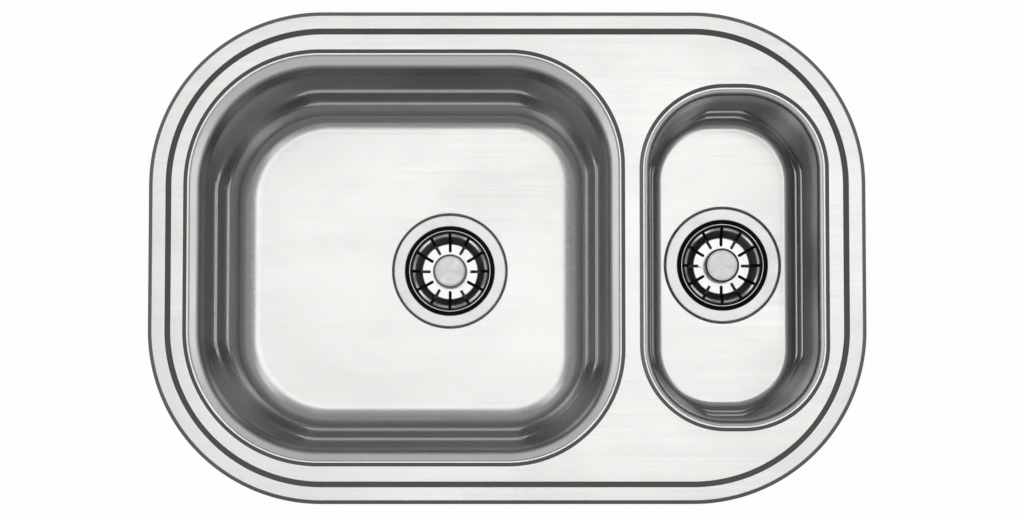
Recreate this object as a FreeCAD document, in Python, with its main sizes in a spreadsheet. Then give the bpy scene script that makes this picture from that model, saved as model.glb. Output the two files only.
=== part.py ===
"""One and a half bowl sink: pressed deck, two drawn bowls, basket strainers and fixing clips.

Millimetres. The origin is the middle of the sink on the worktop's upper face,
+X runs towards the half bowl, +Y towards the back and +Z up.
"""
import FreeCAD, Part
import math
import os
import re

import Sketcher

from FreeCAD import Vector

SIZES = {
    # Deck, seen from above: lands between the openings and the outer edge
    "left_land": 32,
    "main_length": 413,
    "bridge": 14,
    "right_land": 34,
    "side_land": 35,
    "main_width": 390,
    "half_setback": 32.5,
    "rim_corner": 162,
    "main_inner_corner": 109,
    "half_corner_step": 81.5,
    "half_straight": 16,
    # Deck, in section: rolled edge, raised rim, slope, inner deck and the lips of the openings
    "sheet": 0.8,
    "rim_height": 4,
    "edge_roll": 1.6,
    "edge_clearance": 0.4,
    "rim_flat": 15.8,
    "slope_width": 5,
    "deck_drop": 3,
    "deck_bend": 1.2,
    "deck_margin": 3,
    "lip_width": 2.6,
    "lip_drop": 2.2,
    "lip_flat": 1,
    "lip_bend": 0.7,
    "lip_margin": 3,
    # Bowls, in section: rolled mouth, two small steps in the wall and the rounded floor
    "main_depth": 170,
    "half_depth": 135,
    "roll_flat": 0.8,
    "main_roll": 7.2,
    "half_roll": 4.5,
    "main_upper_draft": 14,
    "main_lower_draft": 1.5,
    "half_upper_draft": 2.5,
    "half_lower_draft": 2,
    "main_upper_step": 54,
    "main_lower_step": 80,
    "half_upper_step": 96,
    "half_lower_step": 112,
    "step_bend": 0.8,
    "step_hollow": 1,
    "step_flat": 0.3,
    "main_floor_radius": 6.5,
    "dish_slope": 17,
    "dish_straight": 0.4,
    "dish_radius": 78,
    "half_floor_radius": 8,
    "floor_margin": 0.6,
    "half_floor_gap": 1.1,
    "main_drain_offset": 39,
    "main_drain_front": 3.8,
    # Edge seal and sound pads
    "seal_inset": 3.2,
    "seal_width": 6.5,
    "pad_thickness": 3,
    "pad_margin": 10,
    "pad_corner": 12,
    "main_pad_width": 180,
    "half_pad_width": 64,
    # Strainer cup in its pressed seat
    "waste_hole": 45,
    "flange_land": 10.6,
    "recess_depth": 2,
    "recess_gap": 0.6,
    "recess_slope": 1,
    "recess_margin": 1.2,
    "recess_bend": 0.3,
    "cup_sheet": 1,
    "cup_clearance": 3,
    "cup_seat_depth": 4,
    "cup_depth": 34,
    "cup_taper": 1.5,
    "cup_floor_bend": 4,
    "cup_edge_round": 0.6,
    "cup_hole_radius": 7,
    "cup_hole_circle": 24,
    "cup_hole_count": 6,
    "gasket_inset": 2,
    # Waste body below the bowl
    "body_gasket_height": 3,
    "body_rim_land": 9,
    "body_rim_height": 4,
    "body_clearance": 2,
    "body_wall": 3.5,
    "body_floor_gap": 5,
    "funnel_depth": 10,
    "outlet_radius": 20,
    "spigot_radius": 23.9,
    "spigot_length": 24,
    "boss_gap": 1.5,
    "boss_wall": 3,
    "rib_thickness": 3,
    "rib_height": 12,
    "rib_bite": 1,
    "rib_count": 4,
    # Clamp screw and its insert
    "screw_radius": 3.9,
    "screw_clearance": 0.1,
    "screw_head_radius": 7.5,
    "screw_head_height": 5,
    "screw_head_round": 2,
    "screw_socket_radius": 2.9,
    "screw_socket_depth": 2.5,
    "screw_overrun": 3,
    "insert_wall": 2,
    "insert_length": 14,
    "insert_clearance": 0.05,
    "bore_overrun": 2,
    # Basket, its seal and its knob
    "seal_clearance": 0.3,
    "seal_drop": 0.6,
    "seal_wall": 0.9,
    "basket_sheet": 0.8,
    "basket_lip": 1.2,
    "basket_lip_round": 0.35,
    "basket_wall_depth": 6,
    "basket_wall_draft": 1.5,
    "basket_ledge": 3,
    "basket_depth": 16,
    "basket_floor": 28,
    "basket_bend": 0.7,
    "slot_inner": 19.2,
    "slot_outer": 37.6,
    "slot_width": 2.5,
    "slot_count": 12,
    "knob_radius": 17,
    "knob_height": 13,
    "knob_disc": 4.5,
    "knob_edge_round": 1.8,
    "knob_neck": 7.5,
    "knob_foot_round": 2,
    "shank_radius": 4,
    "shank_clearance": 0.1,
    "shank_overrun": 1.2,
    "washer_radius": 9,
    "washer_height": 1.2,
    "nut_flats": 13,
    "nut_height": 5.5,
    # Fixing clips under the deck
    "clip_inset": 26,
    "clip_spacing": 150,
    "bracket_length": 17,
    "bracket_depth": 8,
    "bracket_height": 11,
    "bracket_sheet": 1.2,
    "clip_head_radius": 3.8,
    "clip_head_height": 2,
    "clip_collar_height": 1.5,
    "clip_neck": 2.6,
    "clip_rod": 2.5,
    "clip_running": 0.08,
    "clip_play": 0.3,
    "clip_drive_height": 4,
    "claw_travel": 28,
    "claw_boss_radius": 6.5,
    "claw_boss_height": 7,
    "claw_reach": 23,
    "claw_width": 9,
    "claw_sheet": 2.5,
    "claw_tip_height": 9,
    "tooth_notch": 1.5,
    "tooth_depth": 2,
}

# Sizes that follow from the driving ones
DECK_TOP = "(rim_height - deck_drop)"
DECK_UNDER = f"({DECK_TOP} - sheet)"
LIP_TOP = f"({DECK_TOP} - lip_drop)"
WELD_LINE = "(lip_width + lip_flat)"
DECK_START = "(rim_flat + slope_width + deck_margin)"
RECESS_FOOT = "(waste_hole + flange_land + recess_gap)"
RECESS_TOP = f"({RECESS_FOOT} + recess_slope)"
RECESS_EDGE = f"({RECESS_TOP} + recess_margin)"
RIDGE = "(step_bend + sheet)"
THROAT = "(waste_hole - cup_clearance - cup_sheet)"
MOUTH = f"({THROAT} + cup_seat_depth)"
FLANGE_UNDER = "(-cup_sheet)"
CUP_BASE = "(-cup_depth - cup_sheet)"
BOWL_UNDER = "(-recess_depth - sheet)"
BODY_TOP = f"({BOWL_UNDER} - body_gasket_height)"
BODY_BORE = f"({THROAT} + cup_sheet + body_clearance)"
FUNNEL_TOP = f"({CUP_BASE} - body_floor_gap)"
FUNNEL_FOOT = f"({FUNNEL_TOP} - funnel_depth)"
SPIGOT_END = f"({FUNNEL_FOOT} - spigot_length)"
BOSS_TOP = f"({CUP_BASE} - boss_gap)"
RIB_FOOT = f"({FUNNEL_FOOT} - body_wall - rib_height)"
INSERT_BORE = "(screw_radius + screw_clearance)"
INSERT_RADIUS = f"({INSERT_BORE} + insert_wall)"
BOSS_BORE = f"({INSERT_RADIUS} + insert_clearance)"
INSERT_FOOT = f"({BOSS_TOP} - insert_length)"
SCREW_END = f"({INSERT_FOOT} - screw_overrun)"
SEAL_TOP = "(-seal_drop)"
BASKET_RADIUS = f"({THROAT} - seal_clearance * sqrt(2) - seal_wall)"
LIP_UPPER = f"({SEAL_TOP} + basket_sheet)"
BASKET_FOOT = "(-basket_depth - basket_sheet)"
WASHER_FOOT = f"({BASKET_FOOT} - washer_height)"
NUT_FOOT = f"({WASHER_FOOT} - nut_height)"
SHANK_END = f"({NUT_FOOT} - shank_overrun)"
BRACKET_FLOOR = f"({DECK_UNDER} - bracket_height)"
COLLAR_TOP = f"({BRACKET_FLOOR} - clip_play)"
COLLAR_FOOT = f"({COLLAR_TOP} - clip_collar_height)"
CLAW_FOOT = f"({COLLAR_FOOT} - clip_play - claw_travel - claw_boss_height)"
DRIVE_TOP = f"({CLAW_FOOT} - clip_play)"
TOOTH_PITCH = "(claw_width / 3)"


def draft_offset(draft):
    """The share of a fillet's radius that lies along each of a drafted wall's two neighbours."""
    return f"tan(45deg - {draft} * 0.5deg)"


# The main floor's dished edge is as wide as its two bends and a short straight between them
DISH_BENDS = ("main_floor_radius * tan(45deg - (main_lower_draft + dish_slope) * 0.5deg)"
              " + dish_radius * tan(dish_slope * 0.5deg)")
DISH_REACH = f"(({DISH_BENDS} + dish_straight) * cos(dish_slope * 1deg))"
DISH_RISE = f"({DISH_REACH} * tan(dish_slope * 1deg))"


def wall_levels(name):
    """Levels of a bowl's two wall steps and of its floor."""
    return [f"({DECK_TOP} - {name}_{part})" for part in ("upper_step", "lower_step", "depth")]


def wall_insets(name):
    """How far a bowl wall's corners lie inside the opening, from the mouth down to the flat floor."""
    upper, lower = f"{name}_upper_draft", f"{name}_lower_draft"
    upper_share, lower_share = draft_offset(upper), draft_offset(lower)
    upper_step, lower_step, floor = wall_levels(name)
    mouth = f"({WELD_LINE} + roll_flat + ({name}_roll + sheet) * {upper_share})"
    upper_in = f"({mouth} + ({LIP_TOP} - {upper_step}) * tan({upper} * 1deg))"
    upper_out = f"({upper_in} + ({RIDGE} + step_hollow) * {upper_share} + step_flat)"
    lower_in = f"({upper_out} + ({upper_step} - {lower_step}) * tan({upper} * 1deg))"
    lower_out = f"({lower_in} + {RIDGE} * {lower_share} + step_hollow * {upper_share} + step_flat)"
    if name == "main":
        foot = f"({lower_out} + ({lower_step} - {floor} - {DISH_RISE}) * tan({lower} * 1deg))"
        flat = f"({foot} + {DISH_REACH} + dish_radius * tan(dish_slope * 0.5deg) + floor_margin)"
    else:
        foot = f"({lower_out} + ({lower_step} - {floor}) * tan({lower} * 1deg))"
        flat = f"({foot} + {name}_floor_radius * {lower_share} + floor_margin)"
    return mouth, upper_in, upper_out, lower_in, lower_out, foot, flat


def floor_edge(name, foot, flat, floor):
    """Corners from the wall's foot to the flat floor, above and below the sheet.

    The main floor's edge is dished: it slopes up to the foot of the wall."""
    radius = f"{name}_floor_radius"
    if name != "main":
        back = f"sheet * {draft_offset(f'{name}_lower_draft')}"
        return ([(foot, floor, radius), (flat, floor)],
                [(flat, f"{floor} - sheet"), (f"{foot} - {back}", f"{floor} - sheet", f"{radius} + sheet")])
    dish = f"({foot} + {DISH_REACH})"
    brink = f"({floor} + {DISH_RISE})"
    lean, fall = "main_lower_draft * 1deg", "dish_slope * 1deg"
    spread = f"(1 + sin({lean} + {fall}))"
    outward = f"sheet * (cos({lean}) + sin({fall})) / {spread}"
    downward = f"sheet * (sin({lean}) + cos({fall})) / {spread}"
    above = [(foot, brink, radius), (dish, floor, "dish_radius"), (flat, floor)]
    below = [
        (flat, f"{floor} - sheet"),
        (f"{dish} - sheet * tan(dish_slope * 0.5deg)", f"{floor} - sheet", "dish_radius + sheet"),
        (f"{foot} - {outward}", f"{brink} - {downward}", f"{radius} + sheet"),
    ]
    return above, below


# The half bowl is just long enough for its waste, and its outer corners keep clear of the rim's
HALF_LENGTH = f"(2 * ({RECESS_EDGE} + half_floor_gap + {wall_insets('half')[-1]}))"
HALF_WIDTH = "(main_width - 2 * half_setback)"
HALF_OUTER_CORNER = "(rim_corner - half_corner_step)"
HALF_INNER_CORNER = f"({HALF_LENGTH} - {HALF_OUTER_CORNER} - half_straight)"
HALF_OPENING = (HALF_LENGTH, HALF_WIDTH, (HALF_INNER_CORNER, HALF_OUTER_CORNER))
MAIN_OPENING = ("main_length", "main_width", ("(rim_corner - side_land)", "main_inner_corner"))
LENGTH = f"(left_land + main_length + bridge + {HALF_LENGTH} + right_land)"
WIDTH = "(main_width + 2 * side_land)"
MAIN_X = f"(left_land + main_length / 2 - {LENGTH} / 2)"
HALF_X = f"({LENGTH} / 2 - right_land - {HALF_LENGTH} / 2)"

doc = FreeCAD.newDocument("one_and_a_half_bowl_sink")
sizes = doc.addObject("Spreadsheet::Sheet", "Sizes")
for row, (size_name, size) in enumerate(SIZES.items(), 1):
    sizes.set(f"A{row}", size_name)
    sizes.set(f"B{row}", str(size))
    sizes.setAlias(f"B{row}", size_name)
doc.recompute()
nodes = []


def bound(formula):
    """The formula with every size name pointing at its cell."""
    return re.sub(r"[a-z_]\w*", lambda word: f"Sizes.{word[0]}" if word[0] in SIZES else word[0], formula)


def number(formula):
    """The formula's present value."""
    return float(sizes.evalExpression(bound(formula)))


def bend_offset(run, drop):
    """How far a bent sheet's lower corner lies behind its upper one, for a slope of that run and drop."""
    return f"(sheet * tan(45deg - atan(({run}) / ({drop})) / 2))"


def bind(item, **formulas):
    """Set numeric properties from formulas; a double underscore stands for a dot."""
    for name, formula in formulas.items():
        item.setExpression(name.replace("__", "."), bound(formula))


def place(item, across="0", up="0", level="0", turn=None):
    """Bind an object's Placement to formulas, turned about the vertical if asked."""
    bind(item, Placement__Base__x=across, Placement__Base__y=up, Placement__Base__z=level)
    if turn is not None:
        item.Placement.Rotation = FreeCAD.Rotation(Vector(0, 0, 1), turn)


def new_body(name):
    """A body that becomes a node of its own."""
    body = doc.addObject("PartDesign::Body", name)
    nodes.append(body)
    return body


def new_sketch(body, name, plane, **offset):
    """A sketch on one of the body's origin planes, shifted by formulas along the sketch's axes."""
    sketch = body.newObject("Sketcher::SketchObject", f"{body.Name}_{name}")
    support = next(item for item in body.Origin.OriginFeatures if item.Role == plane)
    sketch.AttachmentSupport = (support, [""])
    sketch.MapMode = "FlatFace"
    for axis, formula in offset.items():
        sketch.setExpression(f"AttachmentOffset.Base.{axis}", bound(formula))
    return sketch


def new_feature(body, kind, name, profile):
    """A feature of the body, made from a sketch."""
    feature = body.newObject(f"PartDesign::{kind}", f"{body.Name}_{name}")
    feature.Profile = profile
    return feature


def pin_point(sketch, item, vertex, across, up):
    """Hold a vertex at formulas, measured from the sketch's origin."""
    for kind, axis, formula in (("DistanceX", -2, across), ("DistanceY", -1, up)):
        if formula == "0":
            sketch.addConstraint(Sketcher.Constraint("PointOnObject", item, vertex, axis))
        else:
            rule = Sketcher.Constraint(kind, -1, 1, item, vertex, number(formula))
            index = sketch.addConstraint(rule)
            sketch.setExpression(f"Constraints[{index}]", bound(formula))


def hold_radius(sketch, item, formula):
    """Hold a circle's or an arc's radius at a formula."""
    index = sketch.addConstraint(Sketcher.Constraint("Radius", item, number(formula)))
    sketch.setExpression(f"Constraints[{index}]", bound(formula))


def draw_circle(sketch, across, up, radius):
    """A full circle at formulas."""
    centre = Vector(number(across), number(up), 0)
    circle = sketch.addGeometry(Part.Circle(centre, Vector(0, 0, 1), number(radius)))
    pin_point(sketch, circle, 3, across, up)
    hold_radius(sketch, circle, radius)


def draw_slot(sketch, start, end, width):
    """A slot with round ends along the sketch's X axis."""
    radius = number(width) / 2
    near, far = number(start) + radius, number(end) - radius
    near_circle = Part.Circle(Vector(near, 0, 0), Vector(0, 0, 1), radius)
    far_circle = Part.Circle(Vector(far, 0, 0), Vector(0, 0, 1), radius)
    pieces = [
        sketch.addGeometry(Part.ArcOfCircle(near_circle, math.pi / 2, 1.5 * math.pi)),
        sketch.addGeometry(Part.LineSegment(Vector(near, -radius, 0), Vector(far, -radius, 0))),
        sketch.addGeometry(Part.ArcOfCircle(far_circle, -math.pi / 2, math.pi / 2)),
        sketch.addGeometry(Part.LineSegment(Vector(far, radius, 0), Vector(near, radius, 0))),
    ]
    for before, after in zip(pieces, pieces[1:] + pieces[:1]):
        sketch.addConstraint(Sketcher.Constraint("Tangent", before, 2, after, 1))
    hold_radius(sketch, pieces[0], f"{width} / 2")
    pin_point(sketch, pieces[0], 3, f"{start} + {width} / 2", "0")
    pin_point(sketch, pieces[2], 3, f"{end} - {width} / 2", "0")


def draw_outline(sketch, corners):
    """A closed outline through (across, up) or (across, up, radius) corners, the last kind rounded."""
    points = [Vector(number(corner[0]), number(corner[1]), 0) for corner in corners]
    rounds = [number(corner[2]) if len(corner) > 2 else 0 for corner in corners]
    count = len(points)
    entries, exits, centres, turns = [], [], [], []
    for index, point in enumerate(points):
        back = (points[index - 1] - point).normalize()
        ahead = (points[(index + 1) % count] - point).normalize()
        half_angle = back.getAngle(ahead) / 2
        reach = rounds[index] / math.tan(half_angle)
        middle = (back + ahead).normalize() if rounds[index] else Vector()
        entries.append(point + back * reach)
        exits.append(point + ahead * reach)
        centres.append(point + middle * (rounds[index] / math.sin(half_angle)))
        turns.append((back * -1).cross(ahead).z)
    lines = [sketch.addGeometry(Part.LineSegment(exits[index], entries[(index + 1) % count]))
             for index in range(count)]
    for index, corner in enumerate(corners):
        before, after = lines[index - 1], lines[index]
        if not rounds[index]:
            sketch.addConstraint(Sketcher.Constraint("Coincident", before, 2, after, 1))
            pin_point(sketch, after, 1, corner[0], corner[1])
            continue
        start, end = entries[index] - centres[index], exits[index] - centres[index]
        joins = (1, 2)
        if turns[index] < 0:
            start, end = end, start
            joins = (2, 1)
        start_angle = math.atan2(start.y, start.x)
        end_angle = math.atan2(end.y, end.x)
        if end_angle < start_angle:
            end_angle += 2 * math.pi
        circle = Part.Circle(centres[index], Vector(0, 0, 1), rounds[index])
        arc = sketch.addGeometry(Part.ArcOfCircle(circle, start_angle, end_angle))
        sketch.addConstraint(Sketcher.Constraint("Tangent", before, 2, arc, joins[0]))
        sketch.addConstraint(Sketcher.Constraint("Tangent", after, 1, arc, joins[1]))
        hold_radius(sketch, arc, corner[2])
        tip = sketch.addGeometry(Part.Point(points[index]), True)
        sketch.addConstraint(Sketcher.Constraint("PointOnObject", tip, 1, before))
        sketch.addConstraint(Sketcher.Constraint("PointOnObject", tip, 1, after))
        pin_point(sketch, tip, 1, corner[0], corner[1])


def draw_loop(sketch, left, right, half_width, left_corner, right_corner):
    """A rounded rectangle about the X axis that starts in the middle of its right side."""
    west, east, north = number(left), number(right), number(half_width)
    near, far = number(right_corner), number(left_corner)

    def line(start, end):
        return sketch.addGeometry(Part.LineSegment(Vector(*start), Vector(*end)))

    def quarter(across, up, radius, first):
        circle = Part.Circle(Vector(across, up, 0), Vector(0, 0, 1), radius)
        return sketch.addGeometry(Part.ArcOfCircle(circle, first * math.pi / 2, (first + 1) * math.pi / 2))

    pieces = [
        line((east, 0), (east, north - near)),
        quarter(east - near, north - near, near, 0),
        line((east - near, north), (west + far, north)),
        quarter(west + far, north - far, far, 1),
        line((west, north - far), (west, far - north)),
        quarter(west + far, far - north, far, 2),
        line((west + far, -north), (east - near, -north)),
        quarter(east - near, near - north, near, 3),
        line((east, near - north), (east, 0)),
    ]
    for before, after in zip(pieces, pieces[1:]):
        sketch.addConstraint(Sketcher.Constraint("Tangent", before, 2, after, 1))
    sketch.addConstraint(Sketcher.Constraint("Coincident", pieces[-1], 2, pieces[0], 1))
    for upright in pieces[0::4]:
        sketch.addConstraint(Sketcher.Constraint("Vertical", upright))
    for level_run in pieces[2::4]:
        sketch.addConstraint(Sketcher.Constraint("Horizontal", level_run))
    sketch.addConstraint(Sketcher.Constraint("Equal", pieces[1], pieces[7]))
    sketch.addConstraint(Sketcher.Constraint("Equal", pieces[3], pieces[5]))
    hold_radius(sketch, pieces[1], right_corner)
    hold_radius(sketch, pieces[3], left_corner)
    pin_point(sketch, pieces[0], 1, right, "0")
    for kind, item, formula in (("DistanceX", pieces[4], left), ("DistanceY", pieces[2], half_width),
                                ("DistanceY", pieces[6], f"-{half_width}")):
        index = sketch.addConstraint(Sketcher.Constraint(kind, -1, 1, item, 1, number(formula)))
        sketch.setExpression(f"Constraints[{index}]", bound(formula))


def pad_sketch(body, name, sketch, height):
    """Pad a sketch upwards by a formula."""
    pad = new_feature(body, "Pad", name, sketch)
    bind(pad, Length=height)
    return pad


def sweep_sheet(body, name, corners, loop):
    """Sweep a sheet's section, drawn on the XZ plane, round a rounded rectangle."""
    path = new_sketch(body, f"{name}_path", "XY_Plane")
    draw_loop(path, *loop)
    section = new_sketch(body, f"{name}_section", "XZ_Plane")
    draw_outline(section, corners)
    pipe = new_feature(body, "AdditivePipe", name, section)
    pipe.Spine = path
    return pipe


def turn_profile(body, name, corners, **offset):
    """Revolve an outline of (radius, level) corners about the vertical through the sketch's origin."""
    sketch = new_sketch(body, f"{name}_section", "XZ_Plane", **offset)
    draw_outline(sketch, corners)
    turned = new_feature(body, "Revolution", name, sketch)
    turned.ReferenceAxis = (sketch, ["V_Axis"])
    turned.Angle = 360
    return turned


def repeat_round(body, name, feature, sketch, count):
    """Repeat a feature about the sketch's normal and make the result the body's tip."""
    pattern = body.newObject("PartDesign::PolarPattern", f"{body.Name}_{name}")
    pattern.Originals = [feature]
    pattern.Axis = (sketch, ["N_Axis"])
    pattern.Angle = 360
    bind(pattern, Occurrences=count)
    body.Tip = pattern
    return pattern


def cut_through(body, name, sketch):
    """Cut a sketch downwards through the whole body."""
    pocket = new_feature(body, "Pocket", name, sketch)
    pocket.Type = "ThroughAll"
    return pocket


def cylinder(name, radius, height, foot="0"):
    """An upright cylinder on the local axis."""
    item = doc.addObject("Part::Cylinder", name)
    bind(item, Radius=radius, Height=height, Placement__Base__z=foot)
    return item


def block(name, start, size):
    """A box from its lowest corner, all in formulas."""
    item = doc.addObject("Part::Box", name)
    bind(item, Length=size[0], Width=size[1], Height=size[2])
    place(item, *start)
    return item


def cut(name, base, tool):
    """One solid less another."""
    item = doc.addObject("Part::Cut", name)
    item.Base = base
    item.Tool = tool
    return item


def ring(name, outer, inner, foot, height):
    """A flat ring on the local axis, as a node of its own."""
    rim = cylinder(f"{name}_rim", outer, height, foot)
    bore = cylinder(f"{name}_bore", inner, height, foot)
    item = cut(name, rim, bore)
    nodes.append(item)
    return item


def bowl_loop(length, width, corners, inset):
    """The opening's rounded rectangle about the bowl's own middle, moved in by a formula."""
    return (f"-({length} / 2 - {inset})", f"({length} / 2 - {inset})", f"({width} / 2 - {inset})",
            f"({corners[0]} - {inset})", f"({corners[1]} - {inset})")


def make_deck():
    """Rim, slope, inner deck and the two lips, pressed from one sheet."""
    body = new_body("deck_plate")
    lip_back = bend_offset("lip_width", "lip_drop")
    slope_back = bend_offset("slope_width", "deck_drop")
    outer = (f"-{LENGTH} / 2", f"{LENGTH} / 2", f"{WIDTH} / 2", "rim_corner", "rim_corner")

    plate = new_sketch(body, "plate", "XY_Plane", z=DECK_UNDER)
    draw_loop(plate, f"{DECK_START} - {LENGTH} / 2", f"{LENGTH} / 2 - {DECK_START}",
              f"({WIDTH} / 2 - {DECK_START})", f"rim_corner - {DECK_START}", f"rim_corner - {DECK_START}")
    openings = (("main", MAIN_X, *MAIN_OPENING), ("half", HALF_X, *HALF_OPENING))
    for name, middle, length, width, corners in openings:
        draw_loop(plate, f"{middle} - {length} / 2 - lip_margin", f"{middle} + {length} / 2 + lip_margin",
                  f"({width} / 2 + lip_margin)", f"{corners[0]} + lip_margin", f"{corners[1]} + lip_margin")
    pad_sketch(body, "inner_deck", plate, "sheet")

    edge = f"{LENGTH} / 2"
    sweep_sheet(body, "rim", [
        (edge, "edge_clearance"),
        (edge, "rim_height", "edge_roll + sheet"),
        (f"{edge} - rim_flat", "rim_height", "deck_bend + sheet"),
        (f"{edge} - rim_flat - slope_width", DECK_TOP, "deck_bend"),
        (f"{edge} - {DECK_START}", DECK_TOP),
        (f"{edge} - {DECK_START}", DECK_UNDER),
        (f"{edge} - rim_flat - slope_width + {slope_back}", DECK_UNDER, "deck_bend + sheet"),
        (f"{edge} - rim_flat + {slope_back}", "rim_height - sheet", "deck_bend"),
        (f"{edge} - sheet", "rim_height - sheet", "edge_roll"),
        (f"{edge} - sheet", "edge_clearance"),
    ], outer)

    for name, middle, length, width, corners in openings:
        brink = f"({middle} + {length} / 2)"
        sweep_sheet(body, f"{name}_lip", [
            (f"{brink} + lip_margin", DECK_TOP),
            (brink, DECK_TOP, "lip_bend + sheet"),
            (f"{brink} - lip_width", LIP_TOP, "lip_bend"),
            (f"{brink} - {WELD_LINE}", LIP_TOP),
            (f"{brink} - {WELD_LINE}", f"{LIP_TOP} - sheet"),
            (f"{brink} - lip_width + {lip_back}", f"{LIP_TOP} - sheet", "lip_bend + sheet"),
            (f"{brink} + {lip_back}", DECK_UNDER, "lip_bend"),
            (f"{brink} + lip_margin", DECK_UNDER),
        ], (f"{middle} - {length} / 2", brink, f"{width} / 2", *corners))


def make_bowl(name, middle, opening, drain):
    """A drawn bowl: rolled mouth, stepped and drafted wall, rounded floor, seat and hole for the waste."""
    body = new_body(f"{name}_bowl")
    upper_step, lower_step, floor = wall_levels(name)
    mouth, upper_in, upper_out, lower_in, lower_out, foot, flat = wall_insets(name)
    edge_above, edge_below = floor_edge(name, foot, flat, floor)
    upper_side = [
        (WELD_LINE, LIP_TOP),
        (mouth, LIP_TOP, f"{name}_roll + sheet"),
        (upper_in, upper_step, "step_hollow"),
        (upper_out, upper_step, RIDGE),
        (lower_in, lower_step, "step_hollow"),
        (lower_out, lower_step, RIDGE),
        *edge_above,
    ]
    upper_back = f"sheet * {draft_offset(f'{name}_upper_draft')}"
    lower_back = f"sheet * {draft_offset(f'{name}_lower_draft')}"
    under_side = [
        *edge_below,
        (f"{lower_out} - {lower_back}", f"{lower_step} - sheet", "step_bend"),
        (f"{lower_in} - {upper_back}", f"{lower_step} - sheet", "step_hollow + sheet"),
        (f"{upper_out} - {upper_back}", f"{upper_step} - sheet", "step_bend"),
        (f"{upper_in} - {upper_back}", f"{upper_step} - sheet", "step_hollow + sheet"),
        (f"{mouth} - {upper_back}", f"{LIP_TOP} - sheet", f"{name}_roll"),
        (WELD_LINE, f"{LIP_TOP} - sheet"),
    ]
    wall = [(f"{opening[0]} / 2 - ({corner[0]})", *corner[1:]) for corner in upper_side + under_side]
    sweep_sheet(body, "wall", wall, bowl_loop(*opening, "0"))

    plate = new_sketch(body, "plate", "XY_Plane", z=f"{floor} - sheet")
    draw_loop(plate, *bowl_loop(*opening, flat))
    across, back = drain
    draw_circle(plate, across, back, RECESS_EDGE)
    pad_sketch(body, "floor", plate, "sheet")

    seat = f"({floor} - recess_depth)"
    recess_back = bend_offset("recess_slope", "recess_depth")
    turn_profile(body, "seat", [
        (RECESS_EDGE, floor),
        (RECESS_TOP, floor, "recess_bend + sheet"),
        (RECESS_FOOT, seat, "recess_bend"),
        ("waste_hole", seat),
        ("waste_hole", f"{seat} - sheet"),
        (f"{RECESS_FOOT} + {recess_back}", f"{seat} - sheet", "recess_bend + sheet"),
        (f"{RECESS_TOP} + {recess_back}", f"{floor} - sheet", "recess_bend"),
        (RECESS_EDGE, f"{floor} - sheet"),
    ], x=across, z=f"-({back})")
    place(body, middle)
    return floor, flat


def make_edge_seal():
    """Foam strip under the rim."""
    body = new_body("edge_seal")
    strip = new_sketch(body, "strip", "XY_Plane")
    for inset in ("seal_inset", "(seal_inset + seal_width)"):
        draw_loop(strip, f"{inset} - {LENGTH} / 2", f"{LENGTH} / 2 - {inset}", f"({WIDTH} / 2 - {inset})",
                  f"rim_corner - {inset}", f"rim_corner - {inset}")
    pad_sketch(body, "foam", strip, "rim_height - sheet")


def make_sound_pads(main_floor, main_flat, half_floor, half_flat):
    """Damping pads stuck under the flat part of each floor, clear of the waste."""
    pads = (
        ("main_sound_pad", MAIN_X, "0", main_floor,
         (f"-(main_length / 2 - {main_flat} - pad_margin)",
          f"main_drain_offset - {RECESS_EDGE} - pad_margin",
          "main_pad_width / 2")),
        ("half_sound_pad", HALF_X, f"({RECESS_EDGE} + {HALF_WIDTH} / 2 - {half_flat}) / 2", half_floor,
         ("-half_pad_width / 2", "half_pad_width / 2",
          f"(({HALF_WIDTH} / 2 - {half_flat} - {RECESS_EDGE}) / 2 - pad_margin)")),
    )
    for name, middle, back, floor, outline in pads:
        body = new_body(name)
        sketch = new_sketch(body, "outline", "XY_Plane")
        draw_loop(sketch, *outline, "pad_corner", "pad_corner")
        pad_sketch(body, "pad", sketch, "pad_thickness")
        place(body, middle, back, f"{floor} - sheet - pad_thickness")


def make_strainer_cup(name):
    """Flange, conical seat and cup with drain holes, drawn from one sheet."""
    body = new_body(f"{name}_strainer_cup")
    flange = "(waste_hole + flange_land)"
    seat_back = "cup_sheet * tan(22.5deg)"
    turn_profile(body, "shell", [
        (flange, FLANGE_UNDER),
        (flange, "0", "cup_edge_round"),
        (MOUTH, "0", "cup_edge_round"),
        (THROAT, "-cup_seat_depth", "cup_edge_round"),
        (f"{THROAT} - cup_taper", "-cup_depth", "cup_floor_bend"),
        (INSERT_BORE, "-cup_depth"),
        (INSERT_BORE, CUP_BASE),
        (f"{THROAT} - cup_taper + cup_sheet", CUP_BASE, "cup_floor_bend + cup_sheet"),
        (f"{THROAT} + cup_sheet", f"-cup_seat_depth - {seat_back}"),
        (f"{MOUTH} + {seat_back}", FLANGE_UNDER),
    ])
    holes = new_sketch(body, "holes", "XY_Plane")
    draw_circle(holes, "cup_hole_circle", "0", "cup_hole_radius")
    pocket = cut_through(body, "hole", holes)
    repeat_round(body, "hole_ring", pocket, holes, "cup_hole_count")
    return body


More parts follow.
